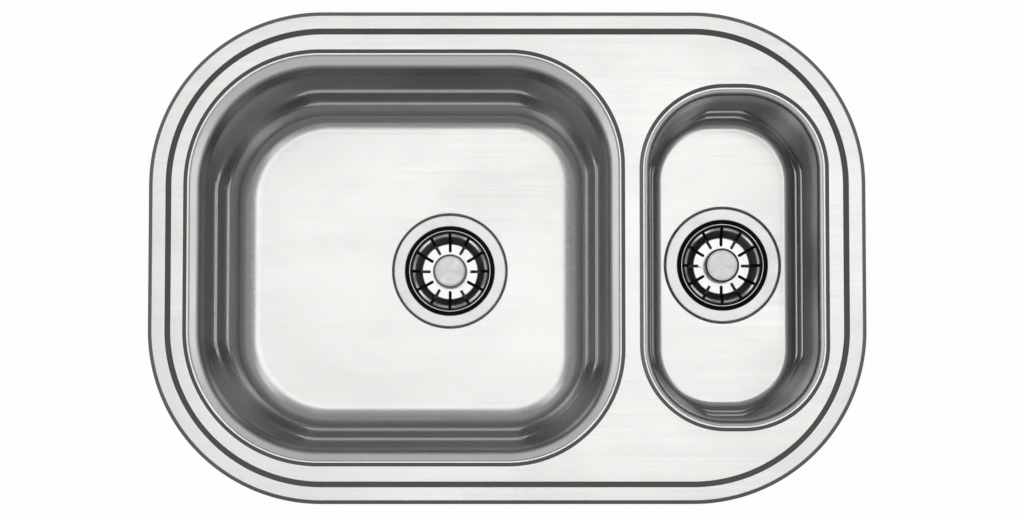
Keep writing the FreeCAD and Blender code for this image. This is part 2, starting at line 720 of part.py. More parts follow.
def make_waste_body(name):
    """Plastic housing: rim, cup housing, funnel, spigot and a ribbed boss for the clamp screw."""
    body = new_body(f"{name}_waste_body")
    rim = "(waste_hole + body_rim_land)"
    wall = f"({BODY_BORE} + body_wall)"
    turn_profile(body, "housing", [
        (BODY_BORE, BODY_TOP),
        (rim, BODY_TOP),
        (rim, f"{BODY_TOP} - body_rim_height"),
        (wall, f"{BODY_TOP} - body_rim_height"),
        (wall, f"{FUNNEL_TOP} - body_wall"),
        ("spigot_radius", f"{FUNNEL_FOOT} - body_wall"),
        ("spigot_radius", SPIGOT_END),
        ("outlet_radius", SPIGOT_END),
        ("outlet_radius", FUNNEL_FOOT),
        (BODY_BORE, FUNNEL_TOP),
    ])
    rib = new_sketch(body, "rib_outline", "XY_Plane", z=RIB_FOOT)
    draw_outline(rib, [
        ("0", "-rib_thickness / 2"),
        ("outlet_radius + rib_bite", "-rib_thickness / 2"),
        ("outlet_radius + rib_bite", "rib_thickness / 2"),
        ("0", "rib_thickness / 2"),
    ])
    first_rib = pad_sketch(body, "rib", rib, "rib_height")
    repeat_round(body, "ribs", first_rib, rib, "rib_count")
    boss = new_sketch(body, "boss_outline", "XY_Plane", z=RIB_FOOT)
    draw_circle(boss, "0", "0", f"{BOSS_BORE} + boss_wall")
    pad_sketch(body, "boss", boss, f"{BOSS_TOP} - {RIB_FOOT}")
    bore = new_sketch(body, "bore_outline", "XY_Plane", z=BOSS_TOP)
    draw_circle(bore, "0", "0", BOSS_BORE)
    pocket = new_feature(body, "Pocket", "insert_bore", bore)
    bind(pocket, Length="insert_length + screw_overrun + bore_overrun")
    return body


def make_clamp_screw(name):
    """Socket-headed screw that pulls the cup and the waste body together."""
    body = new_body(f"{name}_clamp_screw")
    head = "(screw_head_height - cup_depth)"
    turn_profile(body, "screw", [
        ("0", SCREW_END),
        ("screw_radius", SCREW_END),
        ("screw_radius", "-cup_depth"),
        ("screw_head_radius", "-cup_depth"),
        ("screw_head_radius", head, "screw_head_round"),
        ("screw_socket_radius", head),
        ("screw_socket_radius", f"{head} - screw_socket_depth"),
        ("0", f"{head} - screw_socket_depth"),
    ])
    return body


def make_basket(name):
    """Slotted basket: lip, drafted wall, ledge, sloped wall and flat floor."""
    body = new_body(f"{name}_basket")
    lip = f"({BASKET_RADIUS} + basket_lip)"
    inner = f"({BASKET_RADIUS} - basket_sheet)"
    ledge_outer = f"({inner} - basket_wall_draft)"
    ledge_inner = f"({ledge_outer} - basket_ledge)"
    run, drop = f"{ledge_inner} - basket_floor", "basket_depth - basket_wall_depth"
    slope_back = f"(basket_sheet * tan(45deg - atan(({run}) / ({drop})) / 2))"
    wall_back = "(basket_sheet * tan(45deg - atan(basket_wall_draft / basket_wall_depth) / 2))"
    ledge_under = "(-basket_wall_depth - basket_sheet)"
    hole = "(shank_radius + shank_clearance)"
    turn_profile(body, "shell", [
        (lip, SEAL_TOP),
        (lip, LIP_UPPER, "basket_lip_round"),
        (inner, LIP_UPPER, "basket_lip_round"),
        (ledge_outer, "-basket_wall_depth", "basket_bend"),
        (ledge_inner, "-basket_wall_depth", "basket_bend + basket_sheet"),
        ("basket_floor", "-basket_depth", "basket_bend"),
        (hole, "-basket_depth"),
        (hole, BASKET_FOOT),
        (f"basket_floor + {slope_back}", BASKET_FOOT, "basket_bend + basket_sheet"),
        (f"{ledge_inner} + {slope_back}", ledge_under, "basket_bend"),
        (f"{ledge_outer} + {wall_back}", ledge_under, "basket_bend + basket_sheet"),
        (BASKET_RADIUS, f"{SEAL_TOP} - cup_seat_depth"),
        (BASKET_RADIUS, SEAL_TOP),
    ])
    slot = new_sketch(body, "slot_outline", "XY_Plane", z="basket_sheet")
    draw_slot(slot, "slot_inner", "slot_outer", "slot_width")
    pocket = cut_through(body, "slot", slot)
    repeat_round(body, "slots", pocket, slot, "slot_count")
    return body


def make_basket_seal(name):
    """Rubber ring under the basket's lip, with an outer cone that closes on the cup's seat."""
    body = new_body(f"{name}_basket_seal")
    cone = f"({MOUTH} - seal_clearance * sqrt(2))"
    turn_profile(body, "ring", [
        (BASKET_RADIUS, SEAL_TOP),
        (BASKET_RADIUS, "-cup_seat_depth"),
        (f"{cone} - cup_seat_depth", "-cup_seat_depth"),
        (f"{cone} - seal_drop", SEAL_TOP),
    ])
    return body


def make_knob(name):
    """Turned knob with a neck and a threaded shank through the basket's floor."""
    body = new_body(f"{name}_knob")
    top = "(knob_height - basket_depth)"
    turn_profile(body, "knob", [
        ("0", SHANK_END),
        ("shank_radius", SHANK_END),
        ("shank_radius", "-basket_depth"),
        ("knob_neck", "-basket_depth"),
        ("knob_neck", f"{top} - knob_disc", "knob_foot_round"),
        ("knob_radius", f"{top} - knob_disc", "knob_edge_round"),
        ("knob_radius", top, "knob_edge_round"),
        ("0", top),
    ])
    return body


def make_nut(name):
    """Hexagon nut on the knob's shank."""
    prism = doc.addObject("Part::Prism", f"{name}_knob_nut_hexagon")
    prism.Polygon = 6
    bind(prism, Circumradius="nut_flats / sqrt(3)", Height="nut_height", Placement__Base__z=NUT_FOOT)
    bore = cylinder(f"{name}_knob_nut_bore", "shank_radius + shank_clearance", "nut_height", NUT_FOOT)
    nut = cut(f"{name}_knob_nut", prism, bore)
    nodes.append(nut)
    return nut


def make_waste(name, across, back, floor):
    """Everything on one drain's axis, with levels measured from the bowl's floor."""
    pieces = [
        make_strainer_cup(name),
        ring(f"{name}_flange_gasket", "(waste_hole + flange_land - gasket_inset)",
             "(waste_hole + gasket_inset)", "-recess_depth", f"recess_depth + {FLANGE_UNDER}"),
        ring(f"{name}_body_gasket", "(waste_hole + body_rim_land)", "(waste_hole + gasket_inset)",
             BODY_TOP, "body_gasket_height"),
        make_waste_body(name),
        ring(f"{name}_clamp_insert", INSERT_RADIUS, INSERT_BORE, INSERT_FOOT, "insert_length"),
        make_clamp_screw(name),
        make_basket(name),
        make_basket_seal(name),
        make_knob(name),
        ring(f"{name}_knob_washer", "washer_radius", "shank_radius + shank_clearance",
             WASHER_FOOT, "washer_height"),
        make_nut(name),
    ]
    for piece in pieces:
        place(piece, across, back, floor)


def make_clip_bracket(index):
    """Folded box welded under the deck, with a hole in its floor for the screw's neck."""
    name = f"clip_bracket_{index}"
    shell = block(f"{name}_shell", ("-bracket_length / 2", "-bracket_depth / 2", BRACKET_FLOOR),
                  ("bracket_length", "bracket_depth", "bracket_height"))
    hollow_start = ("bracket_sheet - bracket_length / 2", "-bracket_depth / 2",
                    f"{BRACKET_FLOOR} + bracket_sheet")
    hollow_size = ("bracket_length - 2 * bracket_sheet", "bracket_depth",
                   "bracket_height - 2 * bracket_sheet")
    hollow = block(f"{name}_hollow", hollow_start, hollow_size)
    hole = cylinder(f"{name}_hole", "clip_neck + clip_running", "bracket_sheet", BRACKET_FLOOR)
    return cut(name, cut(f"{name}_frame", shell, hollow), hole)


def make_clip_screw(index):
    """Captive screw: riveted head, neck in the bracket, collar, rod and drive head."""
    body = new_body(f"clip_screw_{index}")
    head_foot = f"({BRACKET_FLOOR} + bracket_sheet + clip_play)"
    drive_foot = f"({DRIVE_TOP} - clip_drive_height)"
    turn_profile(body, "screw", [
        ("0", drive_foot),
        ("clip_head_radius", drive_foot),
        ("clip_head_radius", DRIVE_TOP),
        ("clip_rod", DRIVE_TOP),
        ("clip_rod", COLLAR_FOOT),
        ("clip_head_radius", COLLAR_FOOT),
        ("clip_head_radius", COLLAR_TOP),
        ("clip_neck", COLLAR_TOP),
        ("clip_neck", head_foot),
        ("clip_head_radius", head_foot),
        ("clip_head_radius", f"{head_foot} + clip_head_height"),
        ("0", f"{head_foot} + clip_head_height"),
    ])
    return body


def make_clip_claw(index):
    """Claw on the rod: threaded boss, arm along the edge and an upturned, notched tip."""
    name = f"clip_claw_{index}"
    boss = cylinder(f"{name}_boss", "claw_boss_radius", "claw_boss_height", CLAW_FOOT)
    arm = block(f"{name}_arm", ("0", "-claw_width / 2", CLAW_FOOT),
                ("claw_reach", "claw_width", "claw_sheet"))
    tip = block(f"{name}_tip", ("claw_reach - claw_sheet", "-claw_width / 2", CLAW_FOOT),
                ("claw_sheet", "claw_width", "claw_tip_height"))
    solid = doc.addObject("Part::MultiFuse", f"{name}_solid")
    solid.Shapes = [boss, arm, tip]
    bore = cylinder(f"{name}_bore", "clip_rod + clip_running", "claw_boss_height", CLAW_FOOT)
    notches = [
        block(f"{name}_notch_{side}",
              ("claw_reach - claw_sheet", f"{offset} * {TOOTH_PITCH} - tooth_notch / 2",
               f"{CLAW_FOOT} + claw_tip_height - tooth_depth"),
              ("claw_sheet", "tooth_notch", "tooth_depth"))
        for side, offset in (("near", "-0.5"), ("far", "0.5"))
    ]
    tools = doc.addObject("Part::MultiFuse", f"{name}_tools")
    tools.Shapes = [bore, *notches]
    claw = cut(name, solid, tools)
    nodes.append(claw)
    return claw


def make_clips():
    """Clips on the straight runs of the four sides; each arm swings outwards from along the edge."""
    back, side = f"({WIDTH} / 2 - clip_inset)", f"({LENGTH} / 2 - clip_inset)"
    places = [(f"{step} * clip_spacing" if step else "0", back, 0) for step in (-1, 0, 1)]
    places += [(f"-{side}", "0", 90)]
    places += [(f"{step} * clip_spacing" if step else "0", f"-{back}", 180) for step in (-1, 0, 1)]
    places += [(side, "0", -90)]
    brackets = []
    for index, (across, up, turn) in enumerate(places, 1):
        bracket = make_clip_bracket(index)
        brackets.append(bracket)
        for piece in (bracket, make_clip_screw(index), make_clip_claw(index)):
            place(piece, across, up, turn=turn)
    group = doc.addObject("Part::Compound", "clip_brackets")
    group.Links = brackets
    nodes.append(group)


def write_parts():
    """Stop at any failed object, then write each node's shape to its own file."""
    doc.recompute()
    failed = [item.Name for item in doc.Objects if {"Invalid", "Error"} & set(item.State)]
    failed += [node.Label for node in nodes if node.Shape.isNull() or not node.Shape.isValid()]
    if failed:
        raise RuntimeError(f"these objects failed: {sorted(set(failed))}")
    os.makedirs("parts", exist_ok=True)
    for node in nodes:
        node.Shape.exportStep(f"parts/{node.Label}.step")


make_deck()
main_floor, main_flat = make_bowl("main", MAIN_X, MAIN_OPENING, ("main_drain_offset", "-main_drain_front"))
half_floor, half_flat = make_bowl("half", HALF_X, HALF_OPENING, ("0", "0"))
make_edge_seal()
make_sound_pads(main_floor, main_flat, half_floor, half_flat)
make_waste("main", f"{MAIN_X} + main_drain_offset", "-main_drain_front", main_floor)
make_waste("half", HALF_X, "0", half_floor)
make_clips()
write_parts()
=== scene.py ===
"""One and a half bowl sink: pressed steel, strainers, wastes and fixing clips, dressed on a plain stage.

Metres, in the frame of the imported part: the origin is the middle of the sink on the worktop's
upper face, +X runs towards the half bowl, +Y towards the back and +Z up.
"""
import math

import bmesh
import bpy
from bpy.props import FloatProperty, FloatVectorProperty, IntProperty, PointerProperty
from mathutils import Matrix, Vector


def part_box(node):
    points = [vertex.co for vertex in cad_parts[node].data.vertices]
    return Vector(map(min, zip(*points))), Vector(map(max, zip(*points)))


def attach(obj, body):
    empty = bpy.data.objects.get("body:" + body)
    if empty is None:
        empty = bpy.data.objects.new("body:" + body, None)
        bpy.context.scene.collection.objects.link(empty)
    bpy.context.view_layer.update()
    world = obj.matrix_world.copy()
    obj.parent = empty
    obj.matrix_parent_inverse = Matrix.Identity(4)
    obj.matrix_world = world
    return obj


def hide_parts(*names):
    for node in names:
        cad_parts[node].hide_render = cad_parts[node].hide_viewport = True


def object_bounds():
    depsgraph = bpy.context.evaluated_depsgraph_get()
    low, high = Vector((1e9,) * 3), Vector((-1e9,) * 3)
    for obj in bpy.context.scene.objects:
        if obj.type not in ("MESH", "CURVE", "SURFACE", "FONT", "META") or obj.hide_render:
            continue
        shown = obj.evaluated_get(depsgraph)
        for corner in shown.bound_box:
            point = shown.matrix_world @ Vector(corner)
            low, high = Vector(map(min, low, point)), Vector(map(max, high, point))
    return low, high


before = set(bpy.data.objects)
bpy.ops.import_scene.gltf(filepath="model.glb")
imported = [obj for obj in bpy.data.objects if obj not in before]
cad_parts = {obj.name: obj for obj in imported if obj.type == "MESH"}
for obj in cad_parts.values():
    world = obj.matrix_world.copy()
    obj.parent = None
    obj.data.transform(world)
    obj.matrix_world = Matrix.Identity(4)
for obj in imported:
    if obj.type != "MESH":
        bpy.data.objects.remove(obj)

bl_info = {
    "name": "One and a half bowl sink",
    "version": (1, 0, 0),
    "blender": (4, 5, 0),
    "location": "3D View > Sidebar > Sink",
    "description": "Models the sink's pressed sheets, strainers, wastes and clips around the packed part",
    "category": "Object",
}

CAD_BOX = [list(corner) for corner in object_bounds()]
MM = 0.001
SIDES = ("main", "half")
CLIPS = range(1, 9)
TOUCH = 1e-6  # points closer than this lie at one place
SOFT = {"interpolation_type": "SMOOTHSTEP"}  # for a span that eases in and out
DECK_LOW, DECK_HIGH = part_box("deck_plate")


def length(text, millimetres):
    """A length property, given in millimetres and kept in metres."""
    return FloatProperty(description=text, default=millimetres * MM, unit="LENGTH", precision=5)


def slope(text, degrees):
    """An angle property, given in degrees."""
    return FloatProperty(description=text, default=math.radians(degrees), subtype="ANGLE")


def share(text, value):
    """A property between nothing and all."""
    return FloatProperty(description=text, default=value, min=0, max=1, subtype="FACTOR")


def number(text, value):
    """A plain number property."""
    return FloatProperty(description=text, default=value)


def whole(text, value, least):
    """A whole number property."""
    return IntProperty(description=text, default=value, min=least)


def colour(text, value):
    """A linear colour property."""
    return FloatVectorProperty(description=text, default=value, size=3, min=0, max=1, subtype="COLOR")


def point(text, value):
    """A place property, in metres."""
    return FloatVectorProperty(description=text, default=value, size=3, subtype="TRANSLATION",
                               unit="LENGTH")


class SinkSheetSizes(bpy.types.PropertyGroup):
    """Sizes of the pressed deck and the two drawn bowls."""

    sheet: length("Thickness of the steel", 0.8)
    left_land: length("Deck between the outer edge and the main bowl", 32)
    main_length: length("Main opening along the sink", 413)
    main_width: length("Main opening across the sink", 390)
    bridge: length("Deck between the two openings", 14)
    half_length: length("Half opening along the sink", 176.9753)
    half_width: length("Half opening across the sink", 325)
    rim_corner: length("Corner radius of the outer edge", 162)
    main_outer_corner: length("Main opening's corners at the sink's end", 127)
    main_inner_corner: length("Main opening's corners at the bridge", 109)
    half_corner: length("Half opening's corners", 80.5)
    edge_foot: length("Height of the rolled edge above the worktop", 0.4)
    edge_width: length("Sloped part of the rolled edge", 3.6)
    edge_drop: length("Height of the rolled edge's slope", 1.55)
    edge_bend: length("Radius at either end of the edge's slope", 0.9)
    rim_flat: length("Flat rim from the edge to the slope", 15.8)
    slope_width: length("Sloped band beside the rim", 5)
    deck_drop: length("Inner deck below the rim", 3)
    deck_bend: length("Inner radius of the deck's bends", 1.2)
    deck_margin: length("Flat strip beside the sloped band", 3)
    lip_margin: length("Flat strip round each opening", 3)
    lip_width: length("Sloped part of each opening's lip", 3.2)
    lip_drop: length("Ledge below the inner deck", 2.2)
    lip_flat: length("Ledge from the slope to the weld", 0.5)
    lip_bend: length("Inner radius of the lip's bends", 0.7)
    main_depth: length("Main floor below the inner deck", 170)
    half_depth: length("Half floor below the inner deck", 135)
    main_mouth: length("Main opening's edge to the line of its wall", 10.65)
    half_mouth: length("Half opening's edge to the line of its wall", 9.47)
    main_brow: length("Ledge from the weld to the main mouth's first bend", 1.7)
    half_brow: length("Ledge from the weld to the half mouth's first bend", 1.6)
    main_bend: length("Radius of the main mouth's first bend", 3.6)
    half_bend: length("Radius of the half mouth's first bend", 2.6)
    brow_slope: slope("Lean of the mouth between its two bends", 47)
    main_roll: length("Radius of the main mouth's second bend", 14)
    half_roll: length("Radius of the half mouth's second bend", 11)
    main_upper_draft: slope("Lean of the main wall above its lower step", 14)
    brow_wall: length("Height of the steeper strip of wall below the main mouth", 26)
    brow_draft: slope("Lean of the steeper strip of wall below the main mouth", 10)
    brow_end: length("Radius between the steeper strip and the wall below it", 30)
    main_lower_draft: slope("Lean of the main wall below its lower step", 0.7)
    half_upper_draft: slope("Lean of the half wall above its lower step", 2.5)
    half_lower_draft: slope("Lean of the half wall below its lower step", 2)
    main_upper_step: length("First step below the inner deck", 54)
    main_lower_step: length("Second step below the inner deck", 80)
    half_upper_step: length("First step below the inner deck", 96)
    half_lower_step: length("Second step below the inner deck", 112)
    step_ridge: length("Outer radius of a wall step", 1.6)
    step_hollow: length("Inner radius of a wall step", 1)
    step_flat: length("Straight part of a wall step", 0.3)
    step_fall: length("Height by which a wall step falls inwards", 0.42)
    fade_reach: length("Height above and below the steps that smooths with them", 3)
    fade_rounds: whole("Smoothing of the wall steps in the corners", 500, 0)
    main_floor_radius: length("Radius between wall and floor", 14)
    dish_slope: slope("Slope of the main floor's dished edge", 15)
    dish_reach: length("Width of the main floor's dished edge", 15.7)
    dish_radius: length("Radius between the dished edge and the flat floor", 40)
    back_lean: length("Extra lean of the main bowl's back wall down to its upper step", 8)
    back_dish: length("Width by which the dished edge is narrower at the back", 6)
    half_floor_radius: length("Radius between wall and floor", 8)
    floor_margin: length("Flat strip inside the floor radius", 0.6)
    waste_hole: length("Radius of the hole for the waste", 45)
    recess_foot: length("Radius of the pressed seat's floor", 55.9)
    recess_top: length("Radius of the pressed seat's brink", 57.8)
    recess_edge: length("Radius of the flat strip round the seat", 58.4)
    recess_depth: length("Depth of the pressed seat", 2)
    recess_bend: length("Inner radius of the seat's bends", 0.3)
    corner_segments: whole("Edges in each rounded corner", 44, 8)
    seat_segments: whole("Edges round the pressed seat", 128, 16)
    bend_step: slope("Largest turn between two edges of a bend", 7)


class SinkStrainerSizes(bpy.types.PropertyGroup):
    """Sizes of the baskets and knobs of the two strainers, levels measured from the bowl's floor."""

    sheet: length("Thickness of the basket's steel", 0.8)
    lip_radius: length("Outer radius of the basket's lip", 40.88)
    lip_top: length("Top of the lip above the bowl's floor", 0.2)
    lip_foot: length("Height of the lip's outer edge", 1.2)
    lip_bead: length("Width of the rounded lip", 1.05)
    collar_foot: length("Radius at the foot of the basket's upper wall", 37.3)
    ledge_depth: length("Ledge below the bowl's floor", 5.2)
    ledge_inner: length("Inner radius of the ledge", 34.6)
    ledge_fall: length("Height by which the ledge falls inwards", 0.62)
    floor_depth: length("Basket's floor below the bowl's floor", 16)
    floor_radius: length("Radius of the basket's flat floor", 28)
    bend: length("Radius of the basket's bends", 0.7)
    slot_inner: length("Inner end of a slot from the middle", 19.4)
    slot_outer: length("Outer end of a slot from the middle", 38.2)
    slot_width: length("Width of a slot", 3)
    slot_count: whole("Slots round the basket", 12, 3)
    slot_level: length("Middle of the slots' cut above the basket's floor", 4)
    slot_height: length("Height of the slots' cut", 14)
    knob_radius: length("Outer radius of the knob", 17)
    knob_disc: length("Thickness of the knob's disc", 4.5)
    knob_chamfer: length("Width of the sloped ring round the knob's top", 2.1)
    knob_chamfer_drop: length("Height of the sloped ring", 1.4)
    knob_hollow: length("Depth of the turned hollow in the knob's top", 0.1)
    knob_brim: length("Flat ring between the sloped ring and the hollow", 0.8)
    knob_dip: length("Width of the hollow's sloped edge", 0.6)
    knob_edge: length("Radius of the knob's edges", 0.4)
    dip_edge: length("Radius of the hollow's edges", 0.3)
    knob_middle: length("Radius of the innermost ring in the hollow", 0.5)
    knob_neck: length("Radius of the knob's neck", 7.5)
    bend_step: slope("Largest turn between two edges of a basket's bend", 12)
    knob_step: slope("Largest turn between two edges of a knob's bend", 15)
    round_segments: whole("Edges round a turned piece", 128, 16)


class SinkWasteSizes(bpy.types.PropertyGroup):
    """Sizes of the plastic waste bodies, levels measured from the bowl's floor, and of the sound pads."""

    top: length("Body's rim below the bowl's floor", 5.8)
    rim_radius: length("Outer radius of the rim", 54)
    rim_height: length("Height of the rim", 4)
    bore: length("Inner radius of the housing", 44)
    wall: length("Thickness of the walls", 3.5)
    funnel_top: length("Upper end of the funnel below the bowl's floor", 40)
    funnel_foot: length("Lower end of the funnel below the bowl's floor", 50)
    outlet: length("Inner radius of the spigot", 20)
    spigot: length("Outer radius of the spigot's thread", 23.9)
    spigot_end: length("Lower end of the spigot below the bowl's floor", 74)
    thread_pitch: length("Rise of the spigot's thread in one turn", 2.309)
    thread_depth: length("Depth of the spigot's thread", 1.3)
    thread_turns: whole("Turns of the spigot's thread", 7, 1)
    bead: length("Height of the moulded ring round the housing", 0.8)
    gusset_count: whole("Gussets under the rim", 12, 2)
    gusset_height: length("Height of a gusset", 14)
    rib: length("Thickness of gussets and ribs", 3)
    rib_top: length("Top of the inner ribs below the bowl's floor", 53.5)
    rib_foot: length("Foot of the inner ribs below the bowl's floor", 65.5)
    boss: length("Outer radius of the screw's boss", 9.05)
    boss_bore: length("Radius of the boss's bore", 6.05)
    boss_top: length("Top of the boss below the bowl's floor", 36.5)
    boss_floor: length("Foot of the boss's bore below the bowl's floor", 55.5)
    soft: length("Radius of the moulding's edges", 1)
    edge: length("Radius of the edges of gussets, ribs and pads", 0.4)
    rib_count: whole("Ribs inside the spigot", 4, 2)
    bend_step: slope("Largest turn between two edges of a bend", 15)
    round_segments: whole("Edges round the body", 128, 16)
    thread_segments: whole("Edges in one turn of the thread", 96, 16)
    boss_segments: whole("Edges round the boss", 48, 16)
    pad_corner: length("Corner radius of a sound pad", 12)
    pad_slab: length("Thickness of a sound pad between its studs", 1.8)
    pad_margin: length("Plain border of a sound pad", 4)
    stud_pitch: length("Distance between a sound pad's studs", 9)
    stud_slope: length("Width of a stud's sloped sides", 1.3)


class SinkClipSizes(bpy.types.PropertyGroup):
    """Sizes of the fixing clips: bracket, screw and claw."""

    rod: length("Outer radius of the screw's thread", 2.5)
    thread_pitch: length("Rise of the screw's thread in one turn", 0.8)
    thread_depth: length("Depth of the screw's thread", 0.45)
    head: length("Radius of drive head, collar and rivet", 3.8)
    neck: length("Radius of the neck in the bracket", 2.6)
    drive_height: length("Height of the drive head", 4)
    slot_width: length("Width of the cross slot in the drive head", 1.1)
    slot_depth: length("Depth of the cross slot", 1.8)
    collar_height: length("Height of the collar under the bracket", 1.5)
    rivet_height: length("Height of the rivet inside the bracket", 2)
    play: length("Gap between bracket and screw", 0.3)
    boss: length("Outer radius of the claw's boss", 6.5)
    boss_height: length("Height of the claw's boss", 7)
    bore: length("Radius of the boss's bore", 2.58)
    reach: length("Claw's tip from the screw", 23)
    width: length("Width of the claw's arm", 9)
    plate: length("Thickness of the claw's arm", 2.5)
    arm_lift: length("Arm's underside above the boss's foot", 0.3)
    arm_bend: length("Middle radius of the bend before the tip", 2.4)
    tip_height: length("Height of the upturned tip", 9)
    tooth_depth: length("Depth of the notches in the tip", 2)
    bracket_length: length("Bracket along the sink's edge", 17)
    bracket_depth: length("Bracket across the sink's edge", 8)
    bracket_sheet: length("Thickness of the bracket's steel", 1.2)
    bracket_bend: length("Middle radius of the bracket's folds", 1.5)
    screw_edge: length("Radius of the screw's edges", 0.4)
    boss_edge: length("Radius of the boss's edges", 0.6)
    claw_edge: length("Radius of the arm's edges", 0.25)
    bracket_edge: length("Radius of the bracket's edges", 0.15)
    bend_step: slope("Largest turn between two edges of a turned bend", 18)
    arm_step: slope("Largest turn between two edges of the arm's bend", 15)
    screw_segments: whole("Edges round the screw", 40, 16)
    thread_segments: whole("Edges in one turn of the thread", 24, 8)
    boss_segments: whole("Edges round the boss", 48, 16)
    hole_segments: whole("Edges round the bracket's hole", 32, 8)


class SinkFinishes(bpy.types.PropertyGroup):
    """Colours and polish of the sink's materials."""

    sheet_steel: colour("Satin sheet of deck and bowls", (0.74, 0.735, 0.72))
    sheet_polish: share("Roughness of deck and bowls", 0.22)
    # shares of the sheet's tone that paint shade on the deck's pressed lines and upright edges and on the
    # bowls' upper and lower walls
    deck_fold_shade: share("Tone of the deck's pressed lines against its flats", 0.2)
    deck_wall_shade: share("Tone of the deck's upright edges", 0.66)
    main_wall: share("Tone of the main bowl's upper wall", 0.32)
    main_low: number("Tone of the main bowl's lower wall against its upper wall", 1.85)
    half_wall: share("Tone of the half bowl's upper wall", 0.22)
    half_low: number("Tone of the half bowl's lower wall against its upper wall", 0.9)
    strainer_steel: colour("Drawn steel of the cups' flanges", (0.63, 0.625, 0.615))
    basket_steel: colour("Drawn steel of the baskets", (0.76, 0.755, 0.745))
    strainer_polish: share("Roughness of cups and baskets", 0.2)
    knob_steel: colour("Turned steel of the knobs", (0.75, 0.745, 0.73))
    knob_polish: share("Roughness of the knobs", 0.28)
    screw_steel: colour("Screws, washers and nuts", (0.6, 0.6, 0.59))
    clip_zinc: colour("Zinc plating of the clips", (0.62, 0.625, 0.62))
    rubber: colour("Seals and gaskets", (0.005, 0.005, 0.005))
    foam: colour("Strip under the rim", (0.05, 0.05, 0.053))
    damping: colour("Sound pads under the bowls", (0.05, 0.05, 0.054))
    plastic: colour("Moulded waste bodies", (0.72, 0.72, 0.70))
    brass: colour("Threaded inserts", (0.68, 0.47, 0.2))


class SinkStage(bpy.types.PropertyGroup):
    """Floor, lamps and camera."""

    floor: colour("Pale floor under the sink", (0.9, 0.9, 0.9))
    floor_size: length("Side of the floor", 40000)
    floor_gap: length("Gap between the floor and the lowest spigot", 0.5)
    floor_glow: share("Share of its own light in the floor as it is seen", 0.95)
    glow_level: number("Brightness of the ceiling panel", 1.36)
    glow_edge: number("Brightness of the panel's edge against its middle", 1.18)
    panel_across: slope("Half width of the ceiling panel, seen from the sink", 8.8)
    panel_deep: slope("Half depth of the ceiling panel, seen from the sink", 6)
    panel_back: slope("Middle of the ceiling panel behind the upright", 3.4)
    panel_fade: number("Size at which the panel's light ends", 1.8)
    panel_rim: share("Size at which the panel's bright edge begins", 0.6)
    panel_skew: share("Change of the panel's light from its front left to its back right", 0.1)
    lamp_top: slope("Upper edge of the corner and side lamps, from the upright", 24)
    lamp_middle: slope("Middle of the corner and side lamps, from the upright", 40)
    lamp_foot: slope("Lower edge of the corner and side lamps, from the upright", 52)
    corner_start: share("Nearness to a corner at which its lamp begins", 0.7)
    side_end: share("Nearness to a corner at which a side lamp ends", 0.35)
    corner_level: number("Brightness of the four corner lamps", 0.36)
    corner_glint: number("Extra light of their upper halves", 1.1)
    side_level: number("Brightness of the four side lamps", 0.23)
    strip_level: number("Brightness of the low lamps round the sink", 0.32)
    strip_ends: number("Extra light of the low lamps at the sink's ends", 0.8)
    strip_top: slope("Height of the low lamps above the horizon", 13)
    strip_end: slope("Height above the horizon where the low lamps' light ends", 22)
    room_level: number("Brightness of the room's ceiling", 0.05)
    wall_level: number("Brightness of the room's walls", 0.55)
    wall_top: slope("Height over the horizon up to which the walls are bright", 36)
    wall_end: slope("Height over the horizon where the ceiling begins", 48)
    fill_level: number("Light of the soft fill on matt surfaces", 1.6)
    fill_back: slope("Tilt of the soft fill from the front", 18)
    fill_side: slope("Tilt of the soft fill from the side", -12)
    fill_angle: slope("Width of the soft fill in the sky", 100)
    eye: point("Place of the camera", (0.0, -0.142, 2.349))
    aim: point("Point in the middle of the picture", (0.0044, -0.0031, 0.004))
    lens: number("Focal length in millimetres", 88.54)
    sensor: number("Width of the camera's sensor in millimetres", 36)
    sight: length("Distance up to which the camera sees", 100000)


def object_mode():
    """Leave any edit mode with nothing selected."""
    if bpy.context.mode != "OBJECT":
        bpy.ops.object.mode_set(mode="OBJECT")
    bpy.ops.object.select_all(action="DESELECT")


def take(piece):
    """Select one piece alone and make it the active one."""
    object_mode()
    piece.select_set(True)
    bpy.context.view_layer.objects.active = piece


def edit(piece):
    """Go into edit mode on one piece alone, with all of it selected."""
    take(piece)
    bpy.ops.object.mode_set(mode="EDIT")
    bpy.ops.mesh.select_all(action="SELECT")


def pick_all(kind):
    """Select all vertices, edges or faces of the mesh in edit mode."""
    bpy.ops.mesh.select_mode(type=kind)
    bpy.ops.mesh.select_all(action="SELECT")


def pick(kind, test):
    """Select the vertices, edges or faces of the mesh in edit mode that pass a test."""
    bpy.ops.mesh.select_mode(type=kind)
    bpy.ops.mesh.select_all(action="DESELECT")
    mesh = bpy.context.edit_object.data
    shape = bmesh.from_edit_mesh(mesh)
    parts = {"VERT": shape.verts, "EDGE": shape.edges, "FACE": shape.faces}[kind]
    for part in parts:
        if test(part):
            part.select_set(True)
    shape.select_flush_mode()
    bmesh.update_edit_mesh(mesh)


def settle(piece, name):
    """Name a new primitive and put its place into its mesh."""
    piece.name = piece.data.name = name
    bpy.ops.object.transform_apply(location=True, rotation=True, scale=True)
    return piece


def join(pieces, name):
    """Make one piece of several."""
    object_mode()
    for piece in pieces:
        piece.select_set(True)
    bpy.context.view_layer.objects.active = pieces[0]
    bpy.ops.object.join()
    pieces[0].name = pieces[0].data.name = name
    return pieces[0]


def apply(piece, kind, **settings):
    """Add a modifier with its settings and apply it."""
    take(piece)
    bpy.ops.object.modifier_add(type=kind)
    modifier = piece.modifiers[-1]
    for key, value in settings.items():
        setattr(modifier, key, value)
    bpy.ops.object.modifier_apply(modifier=modifier.name)


